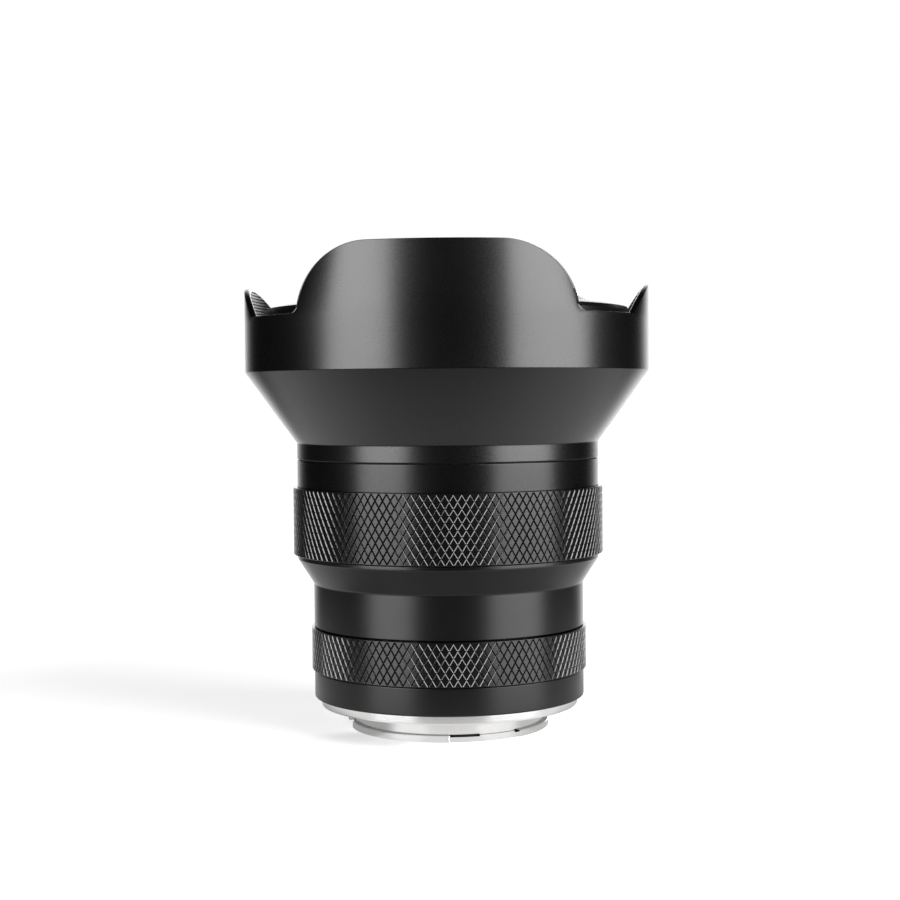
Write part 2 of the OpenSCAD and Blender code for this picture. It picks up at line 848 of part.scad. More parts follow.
module second_retainer() {
  color(flat_black)
    ring(second_glass_r - second_ring_lip, second_glass_r + second_ring_w - seat_fit,
      z_second_ring, z_second_ring + second_ring_t);
}

module middle_cell() {
  color(flat_black)
    turned_part([
      [fourth_glass_r + seat_fit, z_mid], [mid_r, z_mid], [mid_r, z_cell - mid_flange_t],
      [mid_flange_r, z_cell - mid_flange_t], [mid_flange_r, z_cell], [mid_r, z_cell], [mid_r, z_mid_top],
      [third_glass_r + seat_fit, z_mid_top], [third_glass_r + seat_fit, z_third],
      [fourth_lip_r, z_third], [fourth_lip_r, z_fourth_lip], [fourth_glass_r + seat_fit, z_fourth_lip]
    ]);
}

module third_element() {
  color(glass)
    meniscus(third_glass_r, third_apex, third_curve, third_apex - third_t, third_back_curve, z_third);
}

module third_retainer() {
  color(flat_black)
    ring(third_glass_r - third_lip, third_glass_r, z_third_ring, z_mid_top);
}

module fourth_element() {
  color(glass)
    biconvex(fourth_glass_r, fourth_apex, fourth_curve, z_fourth_back, fourth_back_curve);
}

module fourth_retainer() {
  inner = fourth_glass_r - 2 * fourth_lip_w;
  top = z_fourth_back + sag(fourth_back_curve, inner) - glass_gap;
  color(flat_black) ring(inner, fourth_glass_r, top - fourth_ring_t, top);
}

module iris_housing() {
  color(flat_black)
    difference() {
      union() {
        ring(iris_open_r, iris_wall_r, z_plate, z_iris);
        ring(iris_wall_in_r, iris_wall_r, z_rear_flange, z_iris);
      }
      ring_sector(iris_wall_in_r - over / 2, iris_wall_r + over, z_rear_flange - over, z_low_blade,
        lever_turn - 90 - fork_window_half, aperture_throw + 2 * fork_window_half);
      for (i = [1 : blade_count])
        rotate([0, 0, blade_angle(i)])
          translate([pivot_r, 0, z_plate - over])
            cylinder(r = pivot_pin_r + pin_fit, h = plate_t + 2 * over);
      iris_screw_places(iris_screw_turn)
        translate([0, 0, z_iris - iris_screw_len + diaphragm_t])
          cylinder(r = small_screw_r + seat_fit, h = iris_screw_len);
      iris_screw_places(iris_screw_turn + rear_screw_turn)
        translate([0, 0, z_rear_flange - over])
          cylinder(r = small_screw_r + seat_fit, h = rear_screw_grip + over);
    }
}

module iris_screws() {
  color(steel)
    iris_screw_places(iris_screw_turn)
      translate([0, 0, z_iris + diaphragm_t])
        cheese_screw(small_screw_r, small_head_r, small_head_h, iris_screw_len);
}

function blade_angle(i) = i * 360 / blade_count;
function pivot_point() = [pivot_r, 0];

// Drive pin of an unturned blade, after a share of its travel
function drive_point(share) =
  turned(polar(drive_pin_reach, drive_pin_angle), pivot_point(), blade_turn * share);

// The same pin as the turning drive ring sees it
function slot_point(share) = turned(drive_point(share), [0, 0], -aperture_throw * share);

// Point to one side of the slot's middle line
function slot_side(share, offset) =
  let (
    step = slot_point(share + 0.01) - slot_point(share - 0.01),
    across = [-step[1], step[0]] / norm(step)
  )
  slot_point(share) + offset * across;

module slot_outline() {
  half = drive_pin_r + pin_fit;
  polygon([
    for (k = [0 : slot_steps]) slot_side(k / slot_steps, half),
    for (k = [slot_steps : -1 : 0]) slot_side(k / slot_steps, -half)
  ]);
  for (share = [0, 1])
    translate(slot_point(share)) circle(r = half + slot_end_fit);
}

module iris_drive_ring() {
  color(steel)
    difference() {
      union() {
        ring(drive_in_r, drive_r, z_drive, z_drive + drive_t);
        at_side(lever_turn, drive_r - over, z_drive)
          translate([0, -fork_w / 2, 0])
            cube([fork_r - drive_r + over, fork_w, drive_t]);
      }
      at_side(lever_turn, finger_in_r - run_fit, z_drive - over)
        translate([0, -finger_w / 2 - run_fit, 0])
          cube([fork_r, finger_w + 2 * run_fit, drive_t + 2 * over]);
      for (i = [1 : blade_count])
        rotate([0, 0, blade_angle(i)])
          translate([0, 0, z_drive - over])
            linear_extrude(drive_t + 2 * over) slot_outline();
    }
}

// Ear of a blade, which carries its pivot and its drive pin
module blade_ear() {
  pin = polar(drive_pin_reach, drive_pin_angle);
  polygon([
    polar(blade_out_r - 0.5, -6), polar(pivot_r + 0.6, -5), polar(pivot_r + 1.3, 1),
    polar(drive_pin_reach + 0.7, drive_pin_angle - 2), polar(drive_pin_reach - 0.3, drive_pin_angle + 4),
    polar(blade_out_r - 0.5, drive_pin_angle + 8)
  ]);
  translate(pivot_point()) circle(r = ear_r);
  translate(pin) circle(r = ear_tip_r);
}

module blade_outline() {
  intersection() {
    difference() {
      circle(r = blade_out_r);
      circle(r = iris_open_r);
    }
    polygon([[0, 0], for (k = [0 : 4]) polar(2 * blade_out_r, blade_span * k / 4 - blade_tail)]);
  }
  blade_ear();
}

module iris_blade(i) {
  low = z_low_blade + (i - 1) * blade_pitch;
  pin = polar(drive_pin_reach, drive_pin_angle);
  color(steel)
    rotate([0, 0, blade_angle(i)]) {
      translate([0, 0, low]) linear_extrude(blade_t) blade_outline();
      translate([pivot_r, 0, low]) cylinder(r = pivot_pin_r, h = z_iris - end_gap - low);
      translate([pin[0], pin[1], z_drive + end_gap])
        cylinder(r = drive_pin_r, h = low + blade_t - z_drive - end_gap);
    }
}

module rear_cell() {
  color(flat_black)
    difference() {
      turned_part([
        [rear_glass_r + seat_fit, z_rear_cell], [rear_cell_r, z_rear_cell], [rear_cell_r, z_shoulder],
        [iris_wall_r, z_shoulder], [iris_wall_r, z_rear_flange],
        [rear_glass_r - rear_shoulder_w, z_rear_flange], [rear_glass_r - rear_shoulder_w, z_shoulder],
        [rear_glass_r + seat_fit, z_shoulder]
      ]);
      iris_screw_places(iris_screw_turn + rear_screw_turn)
        translate([0, 0, z_shoulder - over])
          cylinder(r = small_screw_r + seat_fit, h = rear_flange_t + 2 * over);
    }
}

module rear_cell_screws() {
  color(steel)
    iris_screw_places(iris_screw_turn + rear_screw_turn)
      translate([0, 0, z_shoulder])
        mirror([0, 0, 1])
          cheese_screw(small_screw_r, small_head_r, small_head_h, rear_flange_t + rear_screw_grip);
}

module fifth_element() {
  color(glass) biconvex(rear_glass_r, fifth_apex, fifth_curve, z_cement, cement_curve);
}

module sixth_element() {
  color(glass)
    difference() {
      translate([0, 0, z_sixth])
        cylinder(r = rear_glass_r, h = z_cement + sag(cement_curve, rear_glass_r) - z_sixth);
      translate([0, 0, z_cement + cement_curve]) sphere(r = cement_curve);
      translate([0, 0, z_cement - sixth_t - sixth_curve]) sphere(r = sixth_curve);
    }
}

module rear_spacer() {
  color(flat_black) ring(spacer_in_r, rear_glass_r, z_spacer, z_sixth);
}

module seventh_element() {
  color(glass) biconvex(rear_glass_r, seventh_apex, seventh_curve, seventh_back, seventh_back_curve);
}

module rear_retainer() {
  color(flat_black)
    ring(rear_glass_r - rear_ring_w, rear_glass_r, z_rear_cell, z_rear_cell + rear_ring_t);
}

module aperture_ring() {
  color(black)
    difference() {
      bevelled_ring(aperture_in_r, aperture_r, z_aperture, z_aperture_top, edge_bevel);
      at_side(lever_turn, aperture_in_r - over, z_foot)
        translate([0, -foot_w / 2, 0])
          cube([foot_r - aperture_in_r + over, foot_w, foot_h]);
      lever_screw_places()
        translate([0, 0, -lever_screw_len]) cylinder(r = small_screw_r + seat_fit, h = lever_screw_len);
    }
}

module lever_screw_places() {
  for (y = [-1, 1])
    at_side(lever_turn, foot_in_r, z_foot + foot_h / 2)
      translate([0, y * (foot_w / 2 - lever_screw_inset), 0])
        rotate([0, -90, 0])
          children();
}

module aperture_lever() {
  color(steel)
    difference() {
      union() {
        at_side(lever_turn, foot_in_r, z_foot)
          translate([0, -foot_w / 2, 0])
            cube([foot_r - foot_in_r, foot_w, foot_h]);
        at_side(lever_turn, finger_in_r, z_arm)
          translate([0, -arm_w / 2, 0])
            cube([foot_in_r - finger_in_r, arm_w, arm_t]);
        at_side(lever_turn, finger_in_r, z_arm)
          translate([0, -finger_w / 2, 0])
            cube([finger_t, finger_w, z_iris - finger_drop - z_arm]);
      }
      lever_screw_places()
        translate([0, 0, -lever_screw_len])
          cylinder(r = small_screw_r + seat_fit, h = lever_screw_len + over);
    }
}

module lever_screws() {
  color(steel)
    lever_screw_places() cheese_screw(small_screw_r, small_head_r, small_head_h, lever_screw_len);
}

bayonet_mount();
mount_screws();
rear_baffle();
baffle_screws();
rear_housing();
lower_barrel();
barrel_screws();
focus_washer();
focus_retainer();
mount_index();
focus_grip();
focus_scale_ring();
focus_cam();
petal_hood();
inner_barrel();
hood_screws();
cam_followers();
front_cell();
front_bezel();
front_element();
second_element();
second_retainer();
middle_cell();
third_element();
third_retainer();
fourth_element();
fourth_retainer();
iris_housing();
iris_screws();
rear_cell();
rear_cell_screws();
fifth_element();
sixth_element();
rear_spacer();
seventh_element();
rear_retainer();
aperture_ring();
aperture_lever();
lever_screws();
iris_drive_ring();
iris_blade(1);  // iris_blade_1
iris_blade(2);  // iris_blade_2
iris_blade(3);  // iris_blade_3
iris_blade(4);  // iris_blade_4
iris_blade(5);  // iris_blade_5
iris_blade(6);  // iris_blade_6
iris_blade(7);  // iris_blade_7
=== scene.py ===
import math

import bmesh
import bpy
from mathutils import Matrix, Vector


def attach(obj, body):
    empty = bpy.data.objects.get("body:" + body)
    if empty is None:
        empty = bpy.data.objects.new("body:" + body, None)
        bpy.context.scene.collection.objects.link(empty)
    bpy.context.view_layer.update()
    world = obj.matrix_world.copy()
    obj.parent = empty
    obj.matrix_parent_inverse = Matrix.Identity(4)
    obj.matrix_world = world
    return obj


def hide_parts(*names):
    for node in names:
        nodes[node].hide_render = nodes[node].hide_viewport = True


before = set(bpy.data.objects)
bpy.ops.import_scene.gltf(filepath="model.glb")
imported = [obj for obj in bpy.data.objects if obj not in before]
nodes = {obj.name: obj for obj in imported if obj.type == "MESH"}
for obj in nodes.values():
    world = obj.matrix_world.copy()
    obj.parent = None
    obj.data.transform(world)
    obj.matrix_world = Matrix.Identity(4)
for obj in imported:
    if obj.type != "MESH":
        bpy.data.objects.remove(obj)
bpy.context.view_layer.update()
MM = 0.001

# Heights of the outside in millimetres, from the bayonet's rear end up
LUG_TOP = 1.6
SEAT = LUG_TOP + 3.8
BASE = SEAT + 2.1
BASE_TOP = BASE + 6.4
APERTURE = BASE_TOP + 0.2
APERTURE_TOP = APERTURE + 10.1
LOWER = APERTURE_TOP + 0.2
STEP_CONE = LOWER + 10.2
STEP_LIP = STEP_CONE + 5.9
LIP_TOP = STEP_LIP + 0.9
FOCUS = LIP_TOP + 0.2
FOCUS_TOP = FOCUS + 15.9
SCALE_TOP = FOCUS_TOP + 6.35
HOOD = SCALE_TOP + 0.25
NECK = HOOD + 3.8
EDGE = NECK + 16.8
NOTCH = EDGE + 12.5
LONG = NOTCH + 15.0
SHORT_RISE = 7.6
SHORT = NOTCH + SHORT_RISE

# Radii of the outside in millimetres
THROAT_R = 19.9
BAYONET_R = 22.7
LUG_R = 23.7
FLANGE_R = 30.7
BARREL_R = 32.25
APERTURE_R = 32.85
UPPER_R = 36.0
GRIP_R = 37.0
HOOD_R = 48.0
HOOD_IN = 46.5

# Radii of the pieces inside
CAM_R = 35.2
TUBE_R = 33.6
TUBE_IN = 31.1
NECK_IN = 34.9
APERTURE_IN = 30.55
SLEEVE_R = 30.45
SLEEVE_IN = 27.45
GLASS_R = 38.0
SECOND_R = 26.0


# Nodes of materials and of geometry

class Val:
    """A socket in a graph. Sums written on it add Math nodes."""

    def __init__(self, graph, socket):
        self.graph = graph
        self.socket = socket

    def maths(self, operation, first, second=0.0):
        return self.graph.node("ShaderNodeMath", {"operation": operation}, {0: first, 1: second})

    def __add__(self, other):
        return self.maths("ADD", self, other)

    def __radd__(self, other):
        return self.maths("ADD", other, self)

    def __sub__(self, other):
        return self.maths("SUBTRACT", self, other)

    def __rsub__(self, other):
        return self.maths("SUBTRACT", other, self)

    def __mul__(self, other):
        return self.maths("MULTIPLY", self, other)

    def __rmul__(self, other):
        return self.maths("MULTIPLY", other, self)

    def __truediv__(self, other):
        return self.maths("DIVIDE", self, other)

    def __rtruediv__(self, other):
        return self.maths("DIVIDE", other, self)

    def __mod__(self, other):
        return self.maths("MODULO", self, other)

    def __rmod__(self, other):
        return self.maths("MODULO", other, self)

    def whole(self):
        return self.maths("FLOOR", self)

    def cosine(self):
        return self.maths("COSINE", self)

    def sine(self):
        return self.maths("SINE", self)

    def span(self, low, high, to_low=0.0, to_high=1.0):
        """The value from low to high, eased into another span."""
        return self.graph.node(
            "ShaderNodeMapRange", {"interpolation_type": "SMOOTHSTEP"},
            {"Value": self, "From Min": low, "From Max": high, "To Min": to_low, "To Max": to_high})


class Graph:
    """A node tree, and the one way in which its nodes are added."""

    def __init__(self, tree):
        self.tree = tree

    def node(self, kind, settings=None, sockets=None, out=0):
        made = self.tree.nodes.new(kind)
        for key, value in (settings or {}).items():
            setattr(made, key, value)
        for key, value in (sockets or {}).items():
            self.feed(made.inputs[key], value)
        return Val(self, made.outputs[out]) if made.outputs else None

    def feed(self, socket, value):
        """Sets a socket, or links a value to it. A list holds the links of one socket."""
        if isinstance(value, Val):
            self.tree.links.new(value.socket, socket)
        elif isinstance(value, list):
            for one in value:
                self.feed(socket, one)
        else:
            socket.default_value = value

    def ray(self, kind):
        return self.node("ShaderNodeLightPath", out=kind)

    def part(self, vector, letter):
        return self.node("ShaderNodeSeparateXYZ", {}, {0: vector}, out=letter)

    def length(self, vector):
        return self.node("ShaderNodeVectorMath", {"operation": "LENGTH"}, {0: vector}, out="Value")


class Finish(Graph):
    """A material with one Principled shader."""

    def __init__(self, name, constants):
        self.material = bpy.data.materials.new(name)
        self.material.use_nodes = True
        super().__init__(self.material.node_tree)
        self.shader = self.tree.nodes["Principled BSDF"]
        for key, value in constants.items():
            self.shader.inputs[key].default_value = value

    def set(self, key, value):
        self.feed(self.shader.inputs[key], value)

    def place(self):
        return self.node("ShaderNodeTexCoord", out="Object")

    def stretched(self, x, y, z):
        """Object coordinates, each times its own number."""
        return self.node("ShaderNodeMapping", {"vector_type": "POINT"},
                         {"Vector": self.place(), "Scale": (x, y, z)})

    def noise(self, vector, scale, detail=2.0, rough=0.5):
        return self.node("ShaderNodeTexNoise", {"noise_dimensions": "3D"},
                         {"Vector": vector, "Scale": scale, "Detail": detail, "Roughness": rough})

    def blend(self, factor, first, second):
        return self.node("ShaderNodeMix", {"data_type": "RGBA"}, {0: factor, 6: first, 7: second}, out=2)

    def bump(self, height, strength, distance):
        return self.node("ShaderNodeBump", {},
                         {"Height": height, "Strength": strength, "Distance": distance})

    def axis(self):
        """Distance from the optical axis, in metres."""
        return self.length(self.stretched(1, 1, 0))

    def height(self):
        return self.part(self.place(), "Z")


class Pattern(Graph):
    """Geometry nodes with named inputs, each of them a label and a kind of socket."""

    def __init__(self, name, inputs):
        super().__init__(bpy.data.node_groups.new(name, "GeometryNodeTree"))
        face = self.tree.interface
        face.new_socket("Geometry", in_out="OUTPUT", socket_type="NodeSocketGeometry")
        for label, kind in inputs:
            face.new_socket(label, in_out="INPUT", socket_type="NodeSocket" + kind)

    def given(self, label):
        return self.node("NodeGroupInput", out=label)

    def copies(self, count, spot, label, turned_by):
        """Copies of the object that an input names, each at its spot and turned by its own angles."""
        points = self.node("GeometryNodePoints", {}, {"Count": count})
        placed = self.node("GeometryNodeSetPosition", {}, {"Geometry": points, "Position": spot})
        shape = self.node("GeometryNodeObjectInfo", {"transform_space": "ORIGINAL"},
                          {"Object": self.given(label)}, out="Geometry")
        return self.node("GeometryNodeInstanceOnPoints", {},
                         {"Points": placed, "Instance": shape, "Rotation": turned_by})

    def painted(self, geometry, label, where=True):
        """The geometry with the material that an input names."""
        return self.node("GeometryNodeSetMaterial", {},
                         {"Geometry": geometry, "Selection": where, "Material": self.given(label)})

    def end(self, geometry):
        self.node("NodeGroupOutput", {}, {0: geometry})
        return self.tree


def grey(level):
    return (level, level, level * 1.01, 1.0)


def satin_anodised(name, dark, light, rough, gloss):
    """Black anodised aluminium, blasted fine, with faint turning marks."""
    f = Finish(name, {"Metallic": 0.0, "IOR": 1.5, "Specular IOR Level": gloss})
    cloud = f.noise(f.place(), 55.0, 3.0)
    speck = f.noise(f.place(), 9000.0, 1.0)
    lines = f.noise(f.stretched(18, 18, 5200), 1.0, 2.0)
    f.set("Base Color", f.blend(cloud * 0.6 + speck * 0.4, grey(dark), grey(light)))
    f.set("Roughness", rough + (cloud - 0.5) * 0.06 + (speck - 0.5) * 0.08)
    f.set("Normal", f.bump(speck * 0.7 + lines * 0.3, 0.25, 0.00001))
    return f.material


def flat_anodised(name, dark, light, rough, pitch=None, gloss=0.35):
    """Dull black of the pieces round the glass, with fine turned threads where a pitch is given."""
    f = Finish(name, {"Metallic": 0.0, "Specular IOR Level": gloss})
    cloud = f.noise(f.place(), 80.0, 2.0)
    speck = f.noise(f.place(), 4200.0, 1.0)
    f.set("Base Color", f.blend(cloud, grey(dark), grey(light)))
    f.set("Roughness", rough + (speck - 0.5) * 0.12)
    relief = speck * 0.4
    if pitch:
        turns = ((f.axis() + f.height()) * (2 * math.pi / (pitch * MM))).sine()
        relief = relief + turns * 0.6
    f.set("Normal", f.bump(relief, 0.35, 0.00008))
    return f.material


def bright_chrome(name, level, rough):
    """Turned and chromed metal with rings left by the tool."""
    f = Finish(name, {"Metallic": 1.0})
    section = f.node("ShaderNodeCombineXYZ", {}, {0: f.axis() * 9000, 1: f.height() * 9000})
    rings = f.noise(section, 1.0, 2.0)
    haze = f.noise(f.place(), 120.0, 3.0)
    f.set("Base Color", f.blend(haze, grey(level * 0.9), (level, level * 0.99, level * 0.965, 1)))
    f.set("Roughness", rough + (rings - 0.5) * 0.16 + (haze - 0.5) * 0.05)
    f.set("Normal", f.bump(rings, 0.12, 0.00003))
    return f.material


def ground_metal(name, colour, rough, metallic=1.0):
    """Steel or brass with a fine ground grain."""
    f = Finish(name, {"Metallic": metallic})
    grain = f.noise(f.stretched(900, 900, 5200), 1.0, 2.0)
    stain = f.noise(f.place(), 150.0, 3.0)
    dull = tuple(c * 0.8 for c in colour[:3]) + (1.0,)
    f.set("Base Color", f.blend(stain, dull, colour))
    f.set("Roughness", rough + (grain - 0.5) * 0.2)
    f.set("Normal", f.bump(grain, 0.15, 0.00003))
    return f.material


def coated_glass(name, tint, sheen, film):
    """Optical glass with a thin coat that colours its reflection, and a trace of dust."""
    f = Finish(name, {"Transmission Weight": 1.0, "IOR": 1.52, "Base Color": tint,
                      "Specular Tint": sheen, "Thin Film Thickness": film, "Thin Film IOR": 1.38})
    dust = f.noise(f.place(), 900.0, 4.0, 0.7).span(0.62, 0.8)
    f.set("Roughness", dust * 0.05)
    return f.material


def enamel(name, colour):
    """Paint filled into engraved marks."""
    f = Finish(name, {"Specular IOR Level": 0.4})
    scuff = f.noise(f.place(), 2600.0, 2.0)
    faded = tuple(c * 0.85 for c in colour[:3]) + (1.0,)
    f.set("Base Color", f.blend(scuff, faded, colour))
    f.set("Roughness", 0.45 + (scuff - 0.5) * 0.2)
    return f.material


# Black finishes by name, darkest and lightest grey, roughness and gloss
SATIN = satin_anodised("satin_black", 0.0004, 0.001, 0.28, 0.7)
SATIN_SCALE = satin_anodised("satin_scale", 0.0005, 0.0012, 0.27, 0.52)
SATIN_BARREL = satin_anodised("satin_barrel", 0.0016, 0.003, 0.3, 0.54)
# A darker, duller copy of the barrel's black for the step cone: painted shade
SATIN_STEP_PAINTED_SHADE = satin_anodised("satin_step", 0.0012, 0.0024, 0.31, 0.32)
SATIN_BASE = satin_anodised("satin_base", 0.002, 0.0034, 0.31, 0.43)
KNURL = satin_anodised("knurl_black", 0.0016, 0.0032, 0.24, 0.58)
# A glossier copy of the black, on the knurls' up-facing flanks and the hood's inner rim edge: painted
# highlight
PAINTED_HIGHLIGHT_GLOSS = satin_anodised("knurl_flank", 0.001, 0.002, 0.16, 1.0)
# A darker, duller copy of the black on the knurls' down-facing flanks: painted shade
FLANK_PAINTED_SHADE = satin_anodised("knurl_flank_shade", 0.0004, 0.0008, 0.36, 0.15)
RIBBED = flat_anodised("ribbed_black", 0.004, 0.008, 0.3, gloss=0.6)
FLAT = flat_anodised("flat_black", 0.006, 0.011, 0.55)
THREADED = flat_anodised("threaded_black", 0.005, 0.009, 0.55, pitch=0.5)
CHROME = bright_chrome("bright_chrome", 0.95, 0.17)
SCREW = ground_metal("screw_steel", (0.56, 0.56, 0.57, 1), 0.28)
LEVER = ground_metal("lever_steel", (0.46, 0.46, 0.47, 1), 0.34)
# Blackened steel of the iris blades; it also lines the mount's slots as painted shade
BLADE = ground_metal("blade_black", (0.035, 0.035, 0.038, 1), 0.42, metallic=0.6)
# Matt grey in place of chrome on the lug tops and the foot's ledge: painted shade
LEDGE_PAINTED_SHADE = flat_anodised("ledge_grey", 0.32, 0.38, 0.7, gloss=0.0)
BRASS = ground_metal("cam_brass", (0.62, 0.45, 0.2, 1), 0.32)
FRONT_GLASS = coated_glass("front_glass", (0.97, 0.975, 0.975, 1), (0.86, 0.95, 0.9, 1), 120.0)
INNER_GLASS = coated_glass("inner_glass", (0.97, 0.98, 0.98, 1), (0.8, 0.6, 0.95, 1), 360.0)
WHITE = enamel("white_enamel", (0.82, 0.82, 0.8, 1))
BLACK_EDGE = flat_anodised("edge_ink", 0.001, 0.002, 0.7, gloss=0.15)


# Meshes

def rounded(points, arc=4):
    """A closed profile of (radius, height) points. A third number rounds that corner.

    A point on either side of the rounding keeps the flats beside it flat in their shading.
    """
    out = []
    count = len(points)
    for i, p in enumerate(points):
        if len(p) < 3 or p[2] <= 0:
            out.append((p[0], p[1]))
            continue
        here = Vector(p[:2])
        before = (Vector(points[i - 1][:2]) - here).normalized()
        after = (Vector(points[(i + 1) % count][:2]) - here).normalized()
        half = before.angle(after) / 2
        reach = p[2] / math.tan(half)
        middle = here + (before + after).normalized() * (p[2] / math.sin(half))
        first = here + before * reach - middle
        last = here + after * reach - middle
        out.append(tuple(here + before * (reach + p[2] * 0.25)))
        for k in range(arc + 1):
            way = first.slerp(last, k / arc) if first.angle(last) > 1e-4 else first
            out.append(tuple(middle + way.normalized() * p[2]))
        out.append(tuple(here + after * (reach + p[2] * 0.25)))
    return out


def sag(curve, r):
    """How far a round surface has dropped at a radius from its middle."""
    return curve - math.sqrt(curve * curve - r * r)


def curve_through(r, height):
    """Curve of a round surface that drops by a height at a radius from its middle."""
    return (r * r + height * height) / (2 * height)


def arc_points(apex, curve, r_to, count):
    """Points on a glass surface, from its middle at the height apex out to a radius."""
    return [(r, apex - sag(curve, r)) for r in (r_to * k / count for k in range(count + 1))]


def new_object(name, data):
    obj = bpy.data.objects.new(name, data)
    bpy.context.scene.collection.objects.link(obj)
    return obj


def mark_sharp(bm, degrees=32.0):
    """Keeps the edges sharp that are open or bend more than an angle."""
    limit = math.radians(degrees)
    for edge in bm.edges:
        edge.smooth = len(edge.link_faces) == 2 and edge.calc_face_angle(0.0) < limit


def finish_mesh(name, bm, materials, sharp=32.0):
    """A mesh object with merged points, outward faces, and edges kept sharp past an angle."""
    bmesh.ops.remove_doubles(bm, verts=bm.verts, dist=2e-7)
    bmesh.ops.dissolve_degenerate(bm, edges=bm.edges, dist=1e-7)
    bmesh.ops.recalc_face_normals(bm, faces=bm.faces)
    for face in bm.faces:
        face.smooth = True
    mark_sharp(bm, sharp)
    mesh = bpy.data.meshes.new(name)
    bm.to_mesh(mesh)
    bm.free()
    for material in materials:
        mesh.materials.append(material)
    return new_object(name, mesh)


def bridge(bm, ring, other):
    """Faces between two closed rings of points. A ring of one point is a pole."""
    faces = []
    count = max(len(ring), len(other))
    for k in range(count if count > 1 else 0):
        n = (k + 1) % count
        if len(ring) == 1:
            corners = (ring[0], other[n], other[k])
        elif len(other) == 1:
            corners = (ring[k], ring[n], other[0])
        else:
            corners = (ring[k], ring[n], other[n], other[k])
        faces.append(bm.faces.new(corners))
    return faces


def revolve(bm, profile, steps, paint=None):
    """Turns a closed profile in millimetres round the axis. paint gives a face's material number."""
    rings = []
    for r, z in profile:
        turns = [2 * math.pi * k / steps for k in range(steps)] if r > 1e-6 else [0.0]
        rings.append([bm.verts.new((r * MM * math.cos(a), r * MM * math.sin(a), z * MM)) for a in turns])
    for i, ring in enumerate(rings):
        for face in bridge(bm, ring, rings[(i + 1) % len(rings)]):
            face.material_index = paint(i) if paint else 0


def turned(name, profile, material, steps=288, stretch=None):
    """A turned piece. A stretch is (low, high, finish) for the faces between two heights."""
    points = rounded(profile)
    low, high, other = stretch or (0, 0, material)

    def paint(i):
        return 1 if low < (points[i][1] + points[(i + 1) % len(points)][1]) / 2 < high else 0

    bm = bmesh.new()
    revolve(bm, points, steps, paint)
    return finish_mesh(name, bm, [material, other])


def evaluated(obj):
    """A plain mesh of the object as its modifiers leave it."""
    graph = bpy.context.evaluated_depsgraph_get()
    graph.update()
    return bpy.data.meshes.new_from_object(obj.evaluated_get(graph))


def plain(obj):
    """Makes the object's modifiers part of a plain mesh."""
    mesh = evaluated(obj)
    obj.modifiers.clear()
    obj.data = mesh


def cut(obj, cutters):
    """Takes the cutters out of the object, and removes them."""
    for cutter in cutters:
        modifier = obj.modifiers.new("cut", "BOOLEAN")
        modifier.operation = "DIFFERENCE"
        modifier.solver = "EXACT"
        modifier.object = cutter
    plain(obj)
    for cutter in cutters:
        bpy.data.objects.remove(cutter)
    bm = bmesh.new()
    bm.from_mesh(obj.data)
    mark_sharp(bm)
    bm.to_mesh(obj.data)
    bm.free()
    return obj


def wear(obj, body, slot, *replaced):
    """Puts a finished piece on its body, in place of its CAD nodes."""
    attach(obj, body)
    if replaced:
        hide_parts(*replaced)


def side(turn, r, z=0.0):
    """A point in metres at a side angle, which runs from -Y towards +X."""
    a = math.radians(turn - 90)
    return Vector((r * MM * math.cos(a), r * MM * math.sin(a), z * MM))


# The hood and its petals

LONG_HALF = 30.75
LONG_ROUND = 16.0
LONG_FLAT = LONG_HALF - LONG_ROUND
CORNER = LONG - LONG_ROUND
FOOT_ROUND = 2.0
FOOT_RISE = NOTCH + FOOT_ROUND - CORNER
FOOT_REACH = LONG_ROUND + FOOT_ROUND
FOOT_HALF = LONG_FLAT + math.sqrt(FOOT_REACH ** 2 - FOOT_RISE ** 2)
SHORT_HALF = 19.7
SHORT_CURVE = curve_through(SHORT_HALF, SHORT_RISE)
RIB_PITCH = 0.7
RIB_CREST = 0.34
RIB_DEEP = 0.2
RIBS_END = NOTCH - 1.2
SHELF_IN = 31.35
NECK_SHELF = HOOD + 2.6
NECK_SHELF_TOP = NECK_SHELF + 2.4
RIM_ROUND = 0.16
RIM_IN_ROUND = 0.6


def quarter_rim():
    """The rim from the middle of a long petal to the middle of a short one.

    Each entry is (kind, distance across that petal or share of the notch, height).
    """
    rim = []
    for k in range(20):
        rim.append(("long", LONG_FLAT * k / 20, LONG))
    meet = math.asin(FOOT_RISE / FOOT_REACH)
    for k in range(45):
        a = math.pi / 2 + (meet - math.pi / 2) * k / 44
        rim.append(("long", LONG_FLAT + LONG_ROUND * math.cos(a), CORNER + LONG_ROUND * math.sin(a)))
    for k in range(1, 11):
        a = math.pi + meet + (math.pi / 2 - meet) * k / 10
        rim.append(("long", FOOT_HALF + FOOT_ROUND * math.cos(a), NOTCH + FOOT_ROUND * (1 + math.sin(a))))
    for k in range(1, 24):
        rim.append(("notch", k / 24, NOTCH))
    for k in range(35):
        y = SHORT_HALF * (1 - k / 34)
        rim.append(("short", y, SHORT - sag(SHORT_CURVE, y)))
    return rim


def rim_angle(entry, r):
    """Side angle of a rim entry on a wall of the given radius."""
    kind, across, _ = entry
    long_end = math.asin(FOOT_HALF / r)
    short_end = math.pi / 2 - math.asin(SHORT_HALF / r)
    if kind == "long":
        return math.asin(across / r)
    if kind == "short":
        return math.pi / 2 - math.asin(across / r)
    return long_end + (short_end - long_end) * across


def whole_rim(r):
    """(angle, height) all the way round, and the inward direction along the wall at each."""
    quarter = [(rim_angle(e, r), e[2]) for e in quarter_rim()]
    half = quarter + [(math.pi - a, z) for a, z in reversed(quarter[:-1])]
    rim = half + [(a + math.pi, z) for a, z in half[1:-1]]
    inward = []
    for i in range(len(rim)):
        (a0, z0), (a1, z1) = rim[i - 1], rim[(i + 1) % len(rim)]
        run = (a1 - a0) % (2 * math.pi) * r
        rise = z1 - z0
        size = math.hypot(run, rise)
        inward.append((rise / size, -run / size))
    return rim, inward


